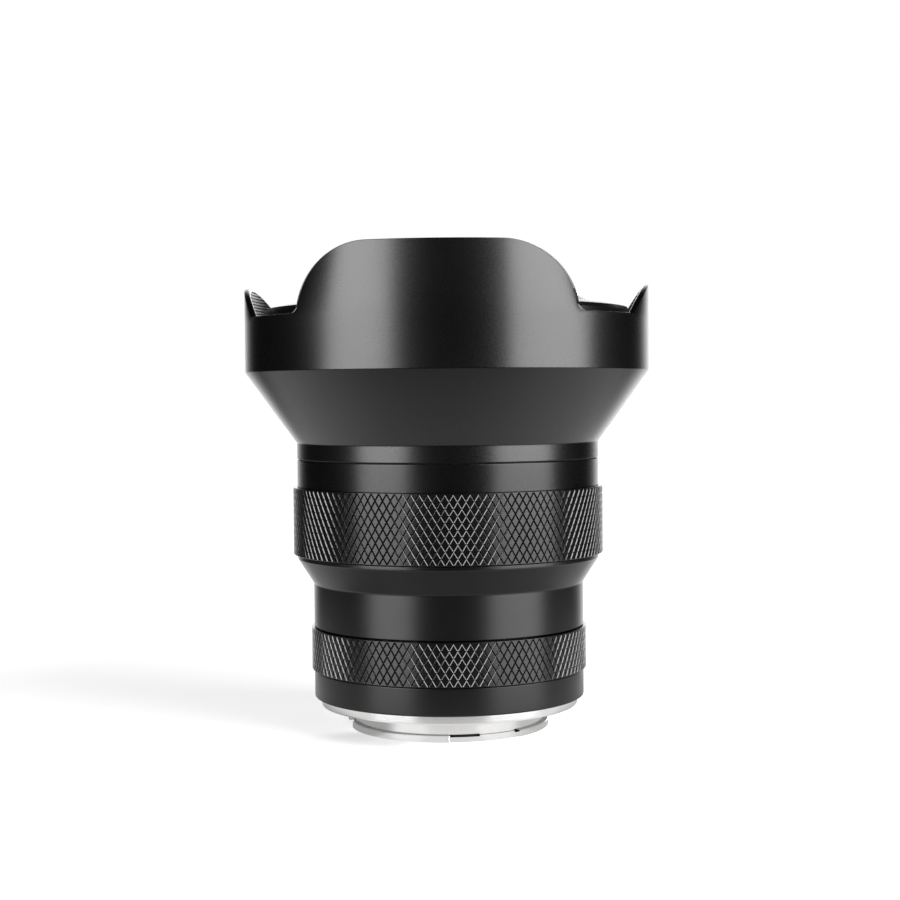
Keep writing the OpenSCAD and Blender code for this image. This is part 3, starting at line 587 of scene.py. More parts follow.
def petal_hood():
    """Cone, petals and ribbed inside in one piece, as rows of points from the neck up and back down."""
    outer, outer_in = whole_rim(HOOD_R)
    inner, inner_in = whole_rim(HOOD_IN)
    rows = []

    def level(angles, r, z):
        rows.append([(r, a, z) for a in angles])

    def along(rim, inward, r, back, radius):
        rows.append([(radius, a + m[0] * back / r, z + m[1] * back) for (a, z), m in zip(rim, inward)])

    outer_angles = [a + m[0] * RIM_ROUND / HOOD_R for (a, _), m in zip(outer, outer_in)]
    inner_angles = [a + m[0] * RIM_IN_ROUND / HOOD_IN for (a, _), m in zip(inner, inner_in)]
    skin = rounded([(NECK_IN, HOOD), (UPPER_R, HOOD, 0.15), (UPPER_R, NECK, 0.5), (HOOD_R, EDGE, 0.35),
                    (HOOD_R, NOTCH - 3.0), (HOOD_R, NOTCH - 1.0), (NECK_IN, NOTCH - 1.0)])[:-1]
    for r, z in skin:
        level(outer_angles, r, z)
    for k in range(4):
        a = math.pi / 2 * k / 3
        along(outer, outer_in, HOOD_R, RIM_ROUND * (1 - math.sin(a)),
              HOOD_R - RIM_ROUND * (1 - math.cos(a)))
    edge_from = len(rows)
    for k in range(5):
        a = math.pi / 2 * (1 - k / 4)
        along(inner, inner_in, HOOD_IN, RIM_IN_ROUND * (1 - math.sin(a)),
              HOOD_IN + RIM_IN_ROUND * (1 - math.cos(a)))
    ribs_from = len(rows) - 1
    tops = [z + m[1] * RIM_IN_ROUND for (_, z), m in zip(inner, inner_in)]
    crest = LONG - RIB_PITCH
    while crest > RIBS_END:
        for drop, deep in ((0, 0), (RIB_CREST, 0), ((RIB_PITCH + RIB_CREST) / 2, RIB_DEEP)):
            z = crest - drop
            rows.append([(HOOD_IN + deep, a, z) if z < top else (HOOD_IN, a, top)
                         for a, top in zip(inner_angles, tops)])
        crest -= RIB_PITCH
    ribs_to = len(rows)
    for r, z in ((HOOD_IN, NOTCH - 2.0), (HOOD_IN, EDGE + 1), (NECK_IN, NECK_SHELF_TOP),
                 (SHELF_IN, NECK_SHELF_TOP), (SHELF_IN, NECK_SHELF), (NECK_IN, NECK_SHELF)):
        level(inner_angles, r, z)

    bm = bmesh.new()
    mesh_rows = [[bm.verts.new(side(math.degrees(a), r, z)) for r, a, z in row] for row in rows]
    for i, row in enumerate(mesh_rows):
        on_highlight_edge = edge_from <= i < ribs_from
        on_ribs = ribs_from <= i < ribs_to
        for face in bridge(bm, row, mesh_rows[(i + 1) % len(mesh_rows)]):
            # The inner rim's rounded edge takes the glossier copy of the black: painted highlight
            face.material_index = 2 if on_highlight_edge else 1 if on_ribs else 0
    return finish_mesh("petal_hood_shell", bm, [SATIN, RIBBED, PAINTED_HIGHLIGHT_GLOSS], 40)


wear(petal_hood(), "front_block", "satin_black", "petal_hood")


# The knurled rings

# A groove's flank from its bottom up, as shares of its width and depth. It eases over at the top.
FLANK_CURVE = ((0.0, 1.0), (0.5, 0.48), (1.0, 0.04), (1.1, 0.0))
GROOVE_DEEP = 0.14
GROOVE_WIDE = 0.36
TILE_SUNK = 0.06


def facet_tile(name, half_w, half_h, radius, cut_low=False, cut_high=False):
    """One raised diamond between the grooves, or the half of it that a ring's edge leaves."""
    corners = [(half_w, 0.0), (0.0, half_h), (-half_w, 0.0), (0.0, -half_h)]
    if cut_low:
        corners = [(half_w, 0.0), (0.0, half_h), (-half_w, 0.0)]
    if cut_high:
        corners = [(-half_w, 0.0), (0.0, -half_h), (half_w, 0.0)]
    inset = GROOVE_WIDE / 2 * math.hypot(half_w, half_h) / (half_w * half_h)

    def ring(share, drop):
        made = []
        for y, z in corners:
            on_cut = (cut_low or cut_high) and abs(z) < 1e-9
            y_in = y * (1 - share)
            z_in = z * (1 - share)
            out = math.sqrt(radius ** 2 - y_in ** 2) - drop
            made.append(bm.verts.new((out * MM, y_in * MM, z_in * MM if not on_cut else 0.0)))
        return made

    bm = bmesh.new()
    # 1 on the flanks that face up, which take a glossier copy of the black as painted highlight, 2 on those
    # that face down, which take a darker, duller copy as painted shade
    flank = bm.faces.layers.int.new("flank")
    rings = [ring(0.0, GROOVE_DEEP + TILE_SUNK)]
    rings += [ring(inset * share, GROOVE_DEEP * drop) for share, drop in FLANK_CURVE]
    size = len(corners)
    for low, high in zip(rings, rings[1:]):
        for k, face in enumerate(bridge(bm, low, high)):
            faces_up = corners[k][1] + corners[(k + 1) % size][1] > 0
            face[flank] = 1 if faces_up else 2
    bm.faces.new(list(reversed(rings[0])))
    top = rings[-1]
    if size == 4:
        bm.faces.new((top[0], top[1], top[3]))
        bm.faces.new((top[1], top[2], top[3]))
    else:
        bm.faces.new(top)
    return finish_mesh(name, bm, [KNURL], 9)


def knurl_tree(kinds):
    """Geometry nodes that set tiles in staggered rows round a ring and add them to its core."""
    tiles = [(label + " Tile", "Object") for label, _, _ in kinds]
    g = Pattern("knurl", [("Core", "Geometry"), ("Count", "Int"), ("First Height", "Float"),
                          ("Row Step", "Float"), ("First Turn", "Float"), ("Finish", "Material"),
                          ("Flank Finish", "Material"), ("Shade Finish", "Material")] + tiles)
    parts = [g.given("Core")]
    for label, first, rows in kinds:
        index = g.node("GeometryNodeInputIndex")
        row = (index / g.given("Count")).whole() + float(first)
        share = ((index % g.given("Count")) + (row % 2.0) * 0.5) / g.given("Count")
        turn = g.given("First Turn") + share * (2 * math.pi)
        height = g.given("First Height") + row * g.given("Row Step")
        spot = g.node("ShaderNodeCombineXYZ", {}, {2: height})
        turned_by = g.node("ShaderNodeCombineXYZ", {}, {2: turn})
        parts.append(g.copies(g.given("Count") * float(rows), spot, label + " Tile", turned_by))
    joined = g.node("GeometryNodeJoinGeometry", {}, {0: parts})
    real = g.node("GeometryNodeRealizeInstances", {}, {"Geometry": joined})
    # Down-facing flanks take the painted shade finish, up-facing flanks the painted highlight finish
    flank = g.node("GeometryNodeInputNamedAttribute", {"data_type": "INT"}, {"Name": "flank"})
    painted_shade = g.painted(g.painted(real, "Finish"), "Shade Finish", flank)
    return g.end(g.painted(painted_shade, "Flank Finish", flank % 2.0))


def give(obj, tree, values):
    """Adds a geometry nodes modifier and sets its inputs by their identifiers."""
    modifier = obj.modifiers.new(tree.name, "NODES")
    modifier.node_group = tree
    keys = {s.name: s.identifier for s in tree.interface.items_tree if s.in_out == "INPUT"}
    for label, value in values.items():
        modifier[keys[label]] = value


def knurled_ring(name, low, high, inner, radius, count, tall, margin, first):
    """A ring with diamonds all round. tall is how many diamonds stand above each other."""
    floor = radius - GROOVE_DEEP
    edge = margin * 0.6
    core = turned(name, [(inner, low), (radius - edge, low, 0.02), (radius, low + edge, 0.02),
                         (radius, low + margin), (floor, low + margin + 0.05),
                         (floor, high - margin - 0.05), (radius, high - margin),
                         (radius, high - edge, 0.02), (radius - edge, high, 0.02), (inner, high)], KNURL)
    half_w = math.pi * radius / count
    half_h = (high - low - 2 * margin) / tall / 2
    kinds = (("Whole", 1, 2 * tall - 1), ("Foot", 0, 1), ("Head", 2 * tall, 1))
    tiles = {
        "Whole Tile": facet_tile("whole", half_w, half_h, radius),
        "Foot Tile": facet_tile("foot", half_w, half_h, radius, cut_low=True),
        "Head Tile": facet_tile("head", half_w, half_h, radius, cut_high=True),
    }
    values = {"Count": count, "First Height": (low + margin) * MM, "Row Step": half_h * MM,
              "First Turn": math.radians(first), "Finish": KNURL, "Flank Finish": PAINTED_HIGHLIGHT_GLOSS,
              "Shade Finish": FLANK_PAINTED_SHADE}
    give(core, knurl_tree(kinds), {**values, **tiles})
    plain(core)
    for tile in tiles.values():
        bpy.data.objects.remove(tile)
    return core


wear(knurled_ring("focus_knurl", FOCUS, FOCUS_TOP, CAM_R, GRIP_R,
                  count=124, tall=5, margin=0.14, first=0.75),
     "focus_ring", "satin_black", "focus_grip")
wear(knurled_ring("aperture_knurl", APERTURE, APERTURE_TOP, APERTURE_IN, APERTURE_R,
                  count=108, tall=3, margin=0.2, first=0.0),
     "aperture_ring", "satin_black", "aperture_ring")


# The plain rings of the barrel

wear(turned("scale_band", [(CAM_R, FOCUS_TOP), (UPPER_R, FOCUS_TOP, 0.12), (UPPER_R, SCALE_TOP, 0.18),
                           (CAM_R, SCALE_TOP)], SATIN_SCALE),
     "focus_ring", "satin_black", "focus_scale_ring")

SLEEVE_TOP = LOWER + 6.9
TUBE_TOP = 60.8
# The step cone's band takes the darker, duller copy of the barrel black: painted shade
wear(turned("lower_barrel_shell", [
    (SLEEVE_R, LOWER), (BARREL_R, LOWER, 0.22), (BARREL_R, STEP_CONE, 0.8), (UPPER_R, STEP_LIP, 0.45),
    (UPPER_R, LIP_TOP, 0.2), (TUBE_R, LIP_TOP), (TUBE_R, TUBE_TOP), (TUBE_IN, TUBE_TOP),
    (TUBE_IN, STEP_CONE + 2), (SLEEVE_R, STEP_CONE + 2), (SLEEVE_R, SLEEVE_TOP + 3),
    (SLEEVE_IN, SLEEVE_TOP + 3), (SLEEVE_IN, SLEEVE_TOP), (SLEEVE_R, SLEEVE_TOP)],
    SATIN_BARREL, stretch=(STEP_CONE + 0.2, STEP_LIP - 0.2, SATIN_STEP_PAINTED_SHADE)),
    "barrel", "satin_black", "lower_barrel")

wear(turned("base_ring", [
    (THROAT_R + 1, BASE), (BARREL_R, BASE, 0.35), (BARREL_R, BASE_TOP, 0.22), (SLEEVE_R, BASE_TOP),
    (SLEEVE_R, SLEEVE_TOP), (SLEEVE_IN, SLEEVE_TOP), (SLEEVE_IN, BASE + 3), (THROAT_R + 1, BASE + 3)],
    SATIN_BASE),
    "barrel", "satin_black", "rear_housing")


# The bright bayonet

SCREW_RING = 26.5
SCREW_TURN = 45.0
SCREW_HOLE_R = 1.85
SHANK_HOLE_R = 0.9
LOCK_TURN = 270.0
LOCK_R = 1.5
LOCK_DEEP = 1.4
BAFFLE = 2.2
BAFFLE_TOP = 3.1
THROAT_LIP = 2.0
FOOT_OUT = 0.4
FOOT_TOP = LUG_TOP - 0.1
LUG_END = 3.3
LUG_SPAN = 77.0
LUG_LOW = 0.03
LUG_RAMP = 0.25
SLOT_SPAN = 17.4
SLOT_DEEP = 0.42
POCKET_SPAN = 2.6
POCKET_DEEP = 0.5
STUD_TURN = -80.0
STUD_RISE = 0.3
STUD_REACH = 1.6
STUD_WIDTH = 0.9


def wedge(bm, r_in, r_out, low, high, start, span, ramp=0.0, steps=40):
    """A closed sector of a ring, with bevelled outer edges. A ramp lowers its last end, most at the top."""
    bevel = 0.15
    ease = 1.1
    middle = [start + ease + (span - 2 * ease) * k / steps for k in range(steps + 1)]
    turns = [start] + middle + [start + span]
    rows = []
    for turn in turns:
        drop = ramp if turn == turns[-1] else 0.0
        foot = r_out - drop * 0.4
        head = r_out - drop * 1.6
        section = [(r_in, low), (foot - bevel, low), (foot, low + bevel), (head, high - bevel),
                   (head - bevel, high), (r_in, high)]
        rows.append([bm.verts.new(side(turn, r, z)) for r, z in section])
    for row, other in zip(rows, rows[1:]):
        bridge(bm, row, other)
    bm.faces.new(rows[0])
    bm.faces.new(list(reversed(rows[-1])))


def stud(bm, turn, r, z, reach, width):
    """A round-ended stud that stands out of a wall."""
    half = width / 2
    made = bmesh.new()
    revolve(made, [(0, -1.0), (half, -1.0), (half, reach - 0.4 * half), (half * 0.8, reach - 0.15 * half),
                   (half * 0.45, reach), (0, reach + 0.03)], 24)
    outward = side(turn, 1).to_track_quat("Z", "Y").to_matrix().to_4x4()
    bmesh.ops.transform(made, matrix=Matrix.Translation(side(turn, r, z)) @ outward, verts=made.verts)
    piece = bpy.data.meshes.new("stud")
    made.to_mesh(piece)
    made.free()
    bm.from_mesh(piece)
    bpy.data.meshes.remove(piece)


def flange_hole(turn, profile):
    """A cutter for a round hole in the flange, at a side angle."""
    bm = bmesh.new()
    revolve(bm, profile, 40)
    bmesh.ops.translate(bm, verts=bm.verts, vec=side(turn, SCREW_RING))
    return finish_mesh("hole", bm, [CHROME])


def foot_slot(turn, span, deep):
    """A cutter for a slot at the top of the foot, where no lug stands. Its walls take the dark blade
    finish, a painted shade in the slot.
    """
    bm = bmesh.new()
    wedge(bm, BAYONET_R - 0.7, BAYONET_R + 1, LUG_TOP - deep, LUG_TOP + 0.14, turn, span)
    for face in bm.faces:
        face.material_index = 1
    return finish_mesh("slot", bm, [CHROME, BLADE])


def bayonet():
    """The flange, its neck and the foot with three lugs."""
    bm = bmesh.new()
    revolve(bm, rounded([
        (THROAT_R, 0, 0.12), (BAYONET_R + FOOT_OUT, 0, 0.18), (BAYONET_R + FOOT_OUT, FOOT_TOP),
        (BAYONET_R, FOOT_TOP), (BAYONET_R, SEAT, 0.1), (FLANGE_R, SEAT, 0.3), (FLANGE_R, BASE),
        (THROAT_R, BASE), (THROAT_R, BAFFLE_TOP + 1), (THROAT_R - THROAT_LIP, BAFFLE_TOP + 1),
        (THROAT_R - THROAT_LIP, BAFFLE_TOP), (THROAT_R, BAFFLE_TOP)]), 288)
    ring = finish_mesh("bayonet_ring", bm, [CHROME, BLADE, LEDGE_PAINTED_SHADE])
    sunk = [(0, SEAT - 1), (SCREW_HOLE_R, SEAT - 1), (SCREW_HOLE_R, SEAT + 0.12),
            (SHANK_HOLE_R, SEAT + 1.05), (SHANK_HOLE_R, BASE + 1), (0, BASE + 1)]
    lock = [(0, SEAT - 1), (LOCK_R, SEAT - 1), (LOCK_R, SEAT + LOCK_DEEP), (0, SEAT + LOCK_DEEP)]
    next_lug = LUG_END + 120 - LUG_SPAN
    cutters = [flange_hole(SCREW_TURN + i * 90, sunk) for i in range(4)]
    cutters += [flange_hole(LOCK_TURN, lock), foot_slot(LUG_END, SLOT_SPAN, SLOT_DEEP),
                foot_slot(next_lug - POCKET_SPAN, POCKET_SPAN, POCKET_DEEP)]
    cut(ring, cutters)
    whole = bmesh.new()
    whole.from_mesh(ring.data)
    bpy.data.objects.remove(ring)
    for i in range(3):
        start = LUG_END - LUG_SPAN + i * 120
        wedge(whole, BAYONET_R - 0.6, LUG_R, LUG_LOW, LUG_TOP, start, LUG_SPAN, LUG_RAMP)
    whole.normal_update()
    # Flat faces at the lug tops and foot ledge take the matt grey: a painted shade line
    for face in whole.faces:
        above_lug = face.calc_center_median().z / MM - LUG_TOP
        if abs(face.normal.z) > 0.9 and -0.2 < above_lug < 0.05:
            face.material_index = 2
    stud(whole, STUD_TURN, BAYONET_R, LUG_TOP + STUD_RISE, STUD_REACH, STUD_WIDTH)
    return finish_mesh("bayonet", whole, [CHROME, BLADE, LEDGE_PAINTED_SHADE])


wear(bayonet(), "barrel", "bright_mount", "bayonet_mount")


def cross_screw(name, head_r, cone_h, shank_r, length, dome):
    """A screw with a cross recess, its head's rim at height 0 and its shank going up."""
    bm = bmesh.new()
    revolve(bm, rounded([(0, -dome), (head_r * 0.7, -dome * 0.75), (head_r, 0, 0.05), (head_r, 0.12),
                         (shank_r, cone_h), (shank_r, length), (0, length)]), 40)
    screw = finish_mesh(name, bm, [SCREW])
    recess = (head_r * 1.25 * MM, head_r * 0.26 * MM, 1.4 * MM)
    cutters = []
    for turn in (0, 90):
        slot = bmesh.new()
        bmesh.ops.create_cube(slot, size=1.0)
        bmesh.ops.scale(slot, verts=slot.verts, vec=recess)
        bmesh.ops.rotate(slot, verts=slot.verts, matrix=Matrix.Rotation(math.radians(turn), 3, "Z"))
        cutters.append(finish_mesh("slot", slot, [SCREW]))
    return cut(screw, cutters)


def screw_tree():
    """Geometry nodes that set copies of a screw round the axis, each recess at its own angle."""
    g = Pattern("screw_circle", [("Screw", "Object"), ("Count", "Int"), ("Radius", "Float"),
                                 ("Height", "Float"), ("First Turn", "Float"), ("Finish", "Material")])
    index = g.node("GeometryNodeInputIndex")
    turn = g.given("First Turn") + index * (2 * math.pi) / g.given("Count")
    spot = g.node("ShaderNodeCombineXYZ", {}, {0: turn.cosine() * g.given("Radius"),
                                               1: turn.sine() * g.given("Radius"), 2: g.given("Height")})
    spin = g.node("ShaderNodeCombineXYZ", {}, {2: turn * 1.7})
    copies = g.copies(g.given("Count"), spot, "Screw", spin)
    real = g.node("GeometryNodeRealizeInstances", {}, {"Geometry": copies})
    return g.end(g.painted(real, "Finish"))


SCREW_CIRCLE = screw_tree()


def screws_round(name, screw, count, radius, height, first):
    """A circle of screws in one mesh. The screw that it copies is removed."""
    holder = new_object(name, bpy.data.meshes.new(name))
    give(holder, SCREW_CIRCLE, {"Screw": screw, "Count": count, "Radius": radius * MM,
                                "Height": height * MM, "First Turn": math.radians(first - 90),
                                "Finish": SCREW})
    plain(holder)
    bpy.data.objects.remove(screw)
    return holder


flange_screw = cross_screw("screw", head_r=1.72, cone_h=0.95, shank_r=0.8, length=4.2, dome=0.05)
wear(screws_round("flange_screws", flange_screw, 4, SCREW_RING, SEAT + 0.05, SCREW_TURN),
     "barrel", "screw_steel", "mount_screws")
baffle_screw = cross_screw("screw", head_r=0.9, cone_h=0.6, shank_r=0.5, length=2.5, dome=0.1)
wear(screws_round("baffle_fixings", baffle_screw, 3, THROAT_R - 1, BAFFLE - 0.55, 0),
     "barrel", "screw_steel", "baffle_screws")


# The rear baffle

WINDOW_X = 11.5
WINDOW_Y = 7.5
WINDOW_ROUND = 2.5
WINDOW_FLARE = 1.03


def rear_baffle():
    """A plate in the throat with a rectangular window, flared at its rear face."""
    edge_r = THROAT_R - 0.02
    plate = turned("throat_baffle", [(0, BAFFLE), (edge_r, BAFFLE, 0.1), (edge_r, BAFFLE_TOP, 0.1),
                                     (0, BAFFLE_TOP)], FLAT, 160)
    outline = []
    for i, (x, y) in enumerate(((1, 1), (-1, 1), (-1, -1), (1, -1))):
        for k in range(9):
            a = math.radians(90 * i + 90 * k / 8)
            outline.append((x * WINDOW_X + WINDOW_ROUND * math.cos(a),
                            y * WINDOW_Y + WINDOW_ROUND * math.sin(a)))
    window = bmesh.new()
    rings = [[window.verts.new((x * grow * MM, y * grow * MM, z * MM)) for x, y in outline]
             for grow, z in ((WINDOW_FLARE, BAFFLE - 1.2), (WINDOW_FLARE, BAFFLE), (1, BAFFLE + 0.3),
                             (1, BAFFLE_TOP + 0.9))]
    for low, high in zip(rings, rings[1:]):
        bridge(window, low, high)
    window.faces.new(list(reversed(rings[0])))
    window.faces.new(rings[-1])
    return cut(plate, [finish_mesh("window", window, [FLAT])])


wear(rear_baffle(), "barrel", "flat_black", "rear_baffle")


# The front glass and the one behind it

# Heights of the glass, as the solids have them
RIM = NOTCH + 3.1
CLEAR_R = GLASS_R - 1.6
# Flat ring between the hollow back and the rim
GLASS_FLAT = 7
FRONT_CURVE = 70
FRONT_APEX = RIM + sag(FRONT_CURVE, CLEAR_R)
FRONT_EDGE = FRONT_APEX - sag(FRONT_CURVE, GLASS_R)
FRONT_SEAT = FRONT_EDGE - 8.7
FRONT_BACK = FRONT_APEX - 5
SECOND_CURVE = 80
SECOND_SEAT = FRONT_SEAT - 8
SECOND_APEX = SECOND_SEAT + 11
SECOND_BACK = SECOND_APEX - 3
SECOND_CLEAR_R = SECOND_R - 1.4
SECOND_LIP = SECOND_APEX - sag(SECOND_CURVE, SECOND_CLEAR_R) + 0.05
SECOND_LIP_TOP = SECOND_LIP + 1.1


def lens(name, glass, radius, apex, curve, seat, back_apex, fine, steps):
    """Glass with a domed front, a hollow back and a rim inked black. fine is the points on each side."""
    back_r = radius - GLASS_FLAT
    front = arc_points(apex, curve, radius, fine[0])
    back = arc_points(back_apex, curve_through(back_r, back_apex - seat), back_r, fine[1])
    bm = bmesh.new()
    revolve(bm, front + [(radius, seat)] + list(reversed(back)), steps,
            lambda i: 1 if fine[0] <= i < fine[0] + 2 else 0)
    return finish_mesh(name, bm, [glass, BLACK_EDGE], 20)


wear(lens("front_glass_dome", FRONT_GLASS, GLASS_R, FRONT_APEX, FRONT_CURVE, FRONT_SEAT, FRONT_BACK,
          fine=(40, 32), steps=192),
     "front_block", "lens_glass", "front_element")
wear(lens("second_glass", INNER_GLASS, SECOND_R, SECOND_APEX, SECOND_CURVE, SECOND_SEAT, SECOND_BACK,
          fine=(28, 24), steps=128),
     "front_block", "lens_glass", "second_element")


# The dark cell and rim that hold the front glass

FIT = 0.02
SHELF = NOTCH - 2
SHELF_LOW = SHELF - 1.5
BEZEL = SHELF - 0.9
BEZEL_R = HOOD_IN - 2.9
BEZEL_LIP = 0.3
BEZEL_EDGE = RIM - 0.85 + BEZEL_LIP
wear(turned("glass_rim", [
    (GLASS_R + FIT, BEZEL), (BEZEL_R, BEZEL), (BEZEL_R, BEZEL_EDGE - 1.2, 0.4),
    (BEZEL_R - 0.6, BEZEL_EDGE - 0.3, 0.3), (BEZEL_R - 2, BEZEL_EDGE, 0.3),
    (CLEAR_R, RIM + BEZEL_LIP, 0.08), (CLEAR_R, RIM + 0.05), (GLASS_R + FIT, FRONT_EDGE + 0.05)], SATIN),
    "front_block", "flat_black", "front_bezel")

CELL_R = GLASS_R + 2.4
CELL_IN = 20
SPIGOT_R = 28.53
SPIGOT = HOOD - 2.8
SECOND_WALL_R = SECOND_R + 2.5
wear(turned("front_cell_shell", [
    (CELL_IN, SPIGOT), (SPIGOT_R, SPIGOT), (SPIGOT_R, HOOD + 6.8), (CELL_R, FRONT_SEAT - 2.4),
    (CELL_R, SHELF_LOW), (HOOD_IN - 0.2, SHELF_LOW), (HOOD_IN - 0.2, SHELF), (BEZEL_R + FIT, SHELF),
    (BEZEL_R + FIT, BEZEL), (GLASS_R + FIT, BEZEL), (GLASS_R + FIT, FRONT_SEAT),
    (SECOND_WALL_R, FRONT_SEAT), (SECOND_WALL_R, SECOND_LIP), (SECOND_R + FIT, SECOND_LIP),
    (SECOND_R + FIT, SECOND_SEAT), (CELL_IN, SECOND_SEAT)], THREADED, 192),
    "front_block", "flat_black", "front_cell")
wear(turned("second_ring", [
    (SECOND_CLEAR_R, SECOND_LIP, 0.1), (SECOND_WALL_R - FIT, SECOND_LIP),
    (SECOND_WALL_R - FIT, SECOND_LIP_TOP, 0.15), (SECOND_CLEAR_R, SECOND_LIP_TOP, 0.4)], FLAT, 192),
    "front_block", "flat_black", "second_retainer")


# The white bead for lining up the bayonet

MARK_TURN = 180.0


def index_bead():
    """A domed bead that stands out of the base ring, away from the camera."""
    bm = bmesh.new()
    dome = [(1.0, 0.0), (0.86, 0.08), (0.6, 0.13), (0.3, 0.15), (0, 0.155)]
    revolve(bm, [(0, -1.0), (1.0, -1.0)] + dome, 40)
    outward = Matrix.Rotation(-math.pi / 2, 4, "X")
    stand = Matrix.Translation(side(MARK_TURN, BARREL_R, BASE + 3.2)) @ outward
    bmesh.ops.transform(bm, matrix=stand, verts=bm.verts)
    return finish_mesh("lining_bead", bm, [WHITE])


wear(index_bead(), "barrel", "index_white", "mount_index")


# Numbers and marks on the side away from the camera

MARK_DEEP = 0.03
STOP_STEP = 8.0
STOPS = ("2.8", "4", "5.6", "8", "11", "16", "22")
FIRST_STOP = MARK_TURN - STOP_STEP * (len(STOPS) - 1) / 2
NEAREST = 0.2
DISTANCES = ("3", "1", "0.5", "0.3", "0.2")
FOCUS_THROW = 90.0


def numeral(bm, text, turn, r, z, size):
    """Adds a number, wrapped on a cylinder and standing a little out of it."""
    curve = bpy.data.curves.new("numeral", "FONT")
    curve.body = text
    curve.size = size
    curve.align_x = "CENTER"
    curve.align_y = "CENTER"
    curve.extrude = MARK_DEEP
    curve.resolution_u = 4
    shape = new_object("numeral", curve)
    mesh = evaluated(shape)
    bpy.data.objects.remove(shape)
    first = len(bm.verts)
    bm.from_mesh(mesh)
    bm.verts.ensure_lookup_table()
    for v in bm.verts[first:]:
        v.co = side(turn + math.degrees(v.co.x / r), r + v.co.z, z + v.co.y)


def tick(bm, turn, r, low, high, width=0.3):
    """Adds a painted line that runs up a cylinder."""
    half = math.degrees(width / 2 / r)
    rings = [[bm.verts.new(side(turn + a, r + e, z)) for a, e in
              ((-half, -MARK_DEEP), (half, -MARK_DEEP), (half, MARK_DEEP), (-half, MARK_DEEP))]
             for z in (low, high)]
    bridge(bm, rings[0], rings[1])
    bm.faces.new(list(reversed(rings[0])))
    bm.faces.new(rings[1])


def distance_scale():
    bm = bmesh.new()
    middle = FOCUS_TOP + 2.6
    places = [("∞", MARK_TURN)]
    places += [(text, MARK_TURN - FOCUS_THROW * NEAREST / float(text)) for text in DISTANCES]
    for text, turn in places:
        numeral(bm, text, turn, UPPER_R, middle, 2.6)
        tick(bm, turn, UPPER_R, SCALE_TOP - 1.5, SCALE_TOP - 0.4)
    return finish_mesh("distance_scale", bm, [WHITE])


def stop_scale():
    bm = bmesh.new()
    for i, text in enumerate(STOPS):
        numeral(bm, text, FIRST_STOP + i * STOP_STEP, BARREL_R, LOWER + 3.4, 2.4)
        tick(bm, FIRST_STOP + i * STOP_STEP, BARREL_R, LOWER + 0.4, LOWER + 1.4)
    return finish_mesh("stop_scale", bm, [WHITE])


def focus_index():
    bm = bmesh.new()
    tick(bm, MARK_TURN, UPPER_R, HOOD + 0.5, HOOD + 2.4, width=0.4)
    return finish_mesh("focus_index", bm, [WHITE])


def aperture_index():
    bm = bmesh.new()
    stud(bm, FIRST_STOP, APERTURE_R, APERTURE_TOP - 1.5, reach=0.2, width=1.5)
    return finish_mesh("aperture_index", bm, [WHITE])


wear(distance_scale(), "focus_ring", "index_white")
wear(stop_scale(), "barrel", "index_white")
wear(focus_index(), "front_block", "index_white")
wear(aperture_index(), "aperture_ring", "index_white")


# Finishes of the solids that stay as they are

kept = {
    FLAT: "focus_washer focus_retainer inner_barrel middle_cell third_retainer fourth_retainer "
          "iris_housing rear_cell rear_spacer rear_retainer",
    SCREW: "barrel_screws hood_screws iris_screws rear_cell_screws lever_screws",
    LEVER: "aperture_lever cam_followers iris_drive_ring",
    BLADE: " ".join("iris_blade_%d" % i for i in range(1, 8)),
    BRASS: "focus_cam",
    INNER_GLASS: "third_element fourth_element fifth_element sixth_element seventh_element",
}
for material, names in kept.items():
    for name in names.split():
        mesh = nodes[name].data
        mesh.materials.clear()
        mesh.materials.append(material)


# Floor, surroundings, lamps and camera

CAMERA_TURN = 3.3
CAMERA_DISTANCE = 402.5
CAMERA_HEIGHT = 78.66
CAMERA_TILT = 1.823
CAMERA_ROLL = -0.445
CAMERA_PAN = 0.082
CAMERA_LENS = 67.12
BOX_DISTANCE = 0.8
BOX_RADIANCE = 6.5
# How much the floor near the lens is lifted towards the white behind it
FLOOR_LIFT = 0.52
# Light of the dim room, and what it adds on dull surfaces
ROOM_LEVEL = 0.012
ROOM_FILL = 0.08
# What the white behind the lens adds in what shines only: a painted highlight, brighter than the white the
# camera sees
BACK_GAIN = 1.3


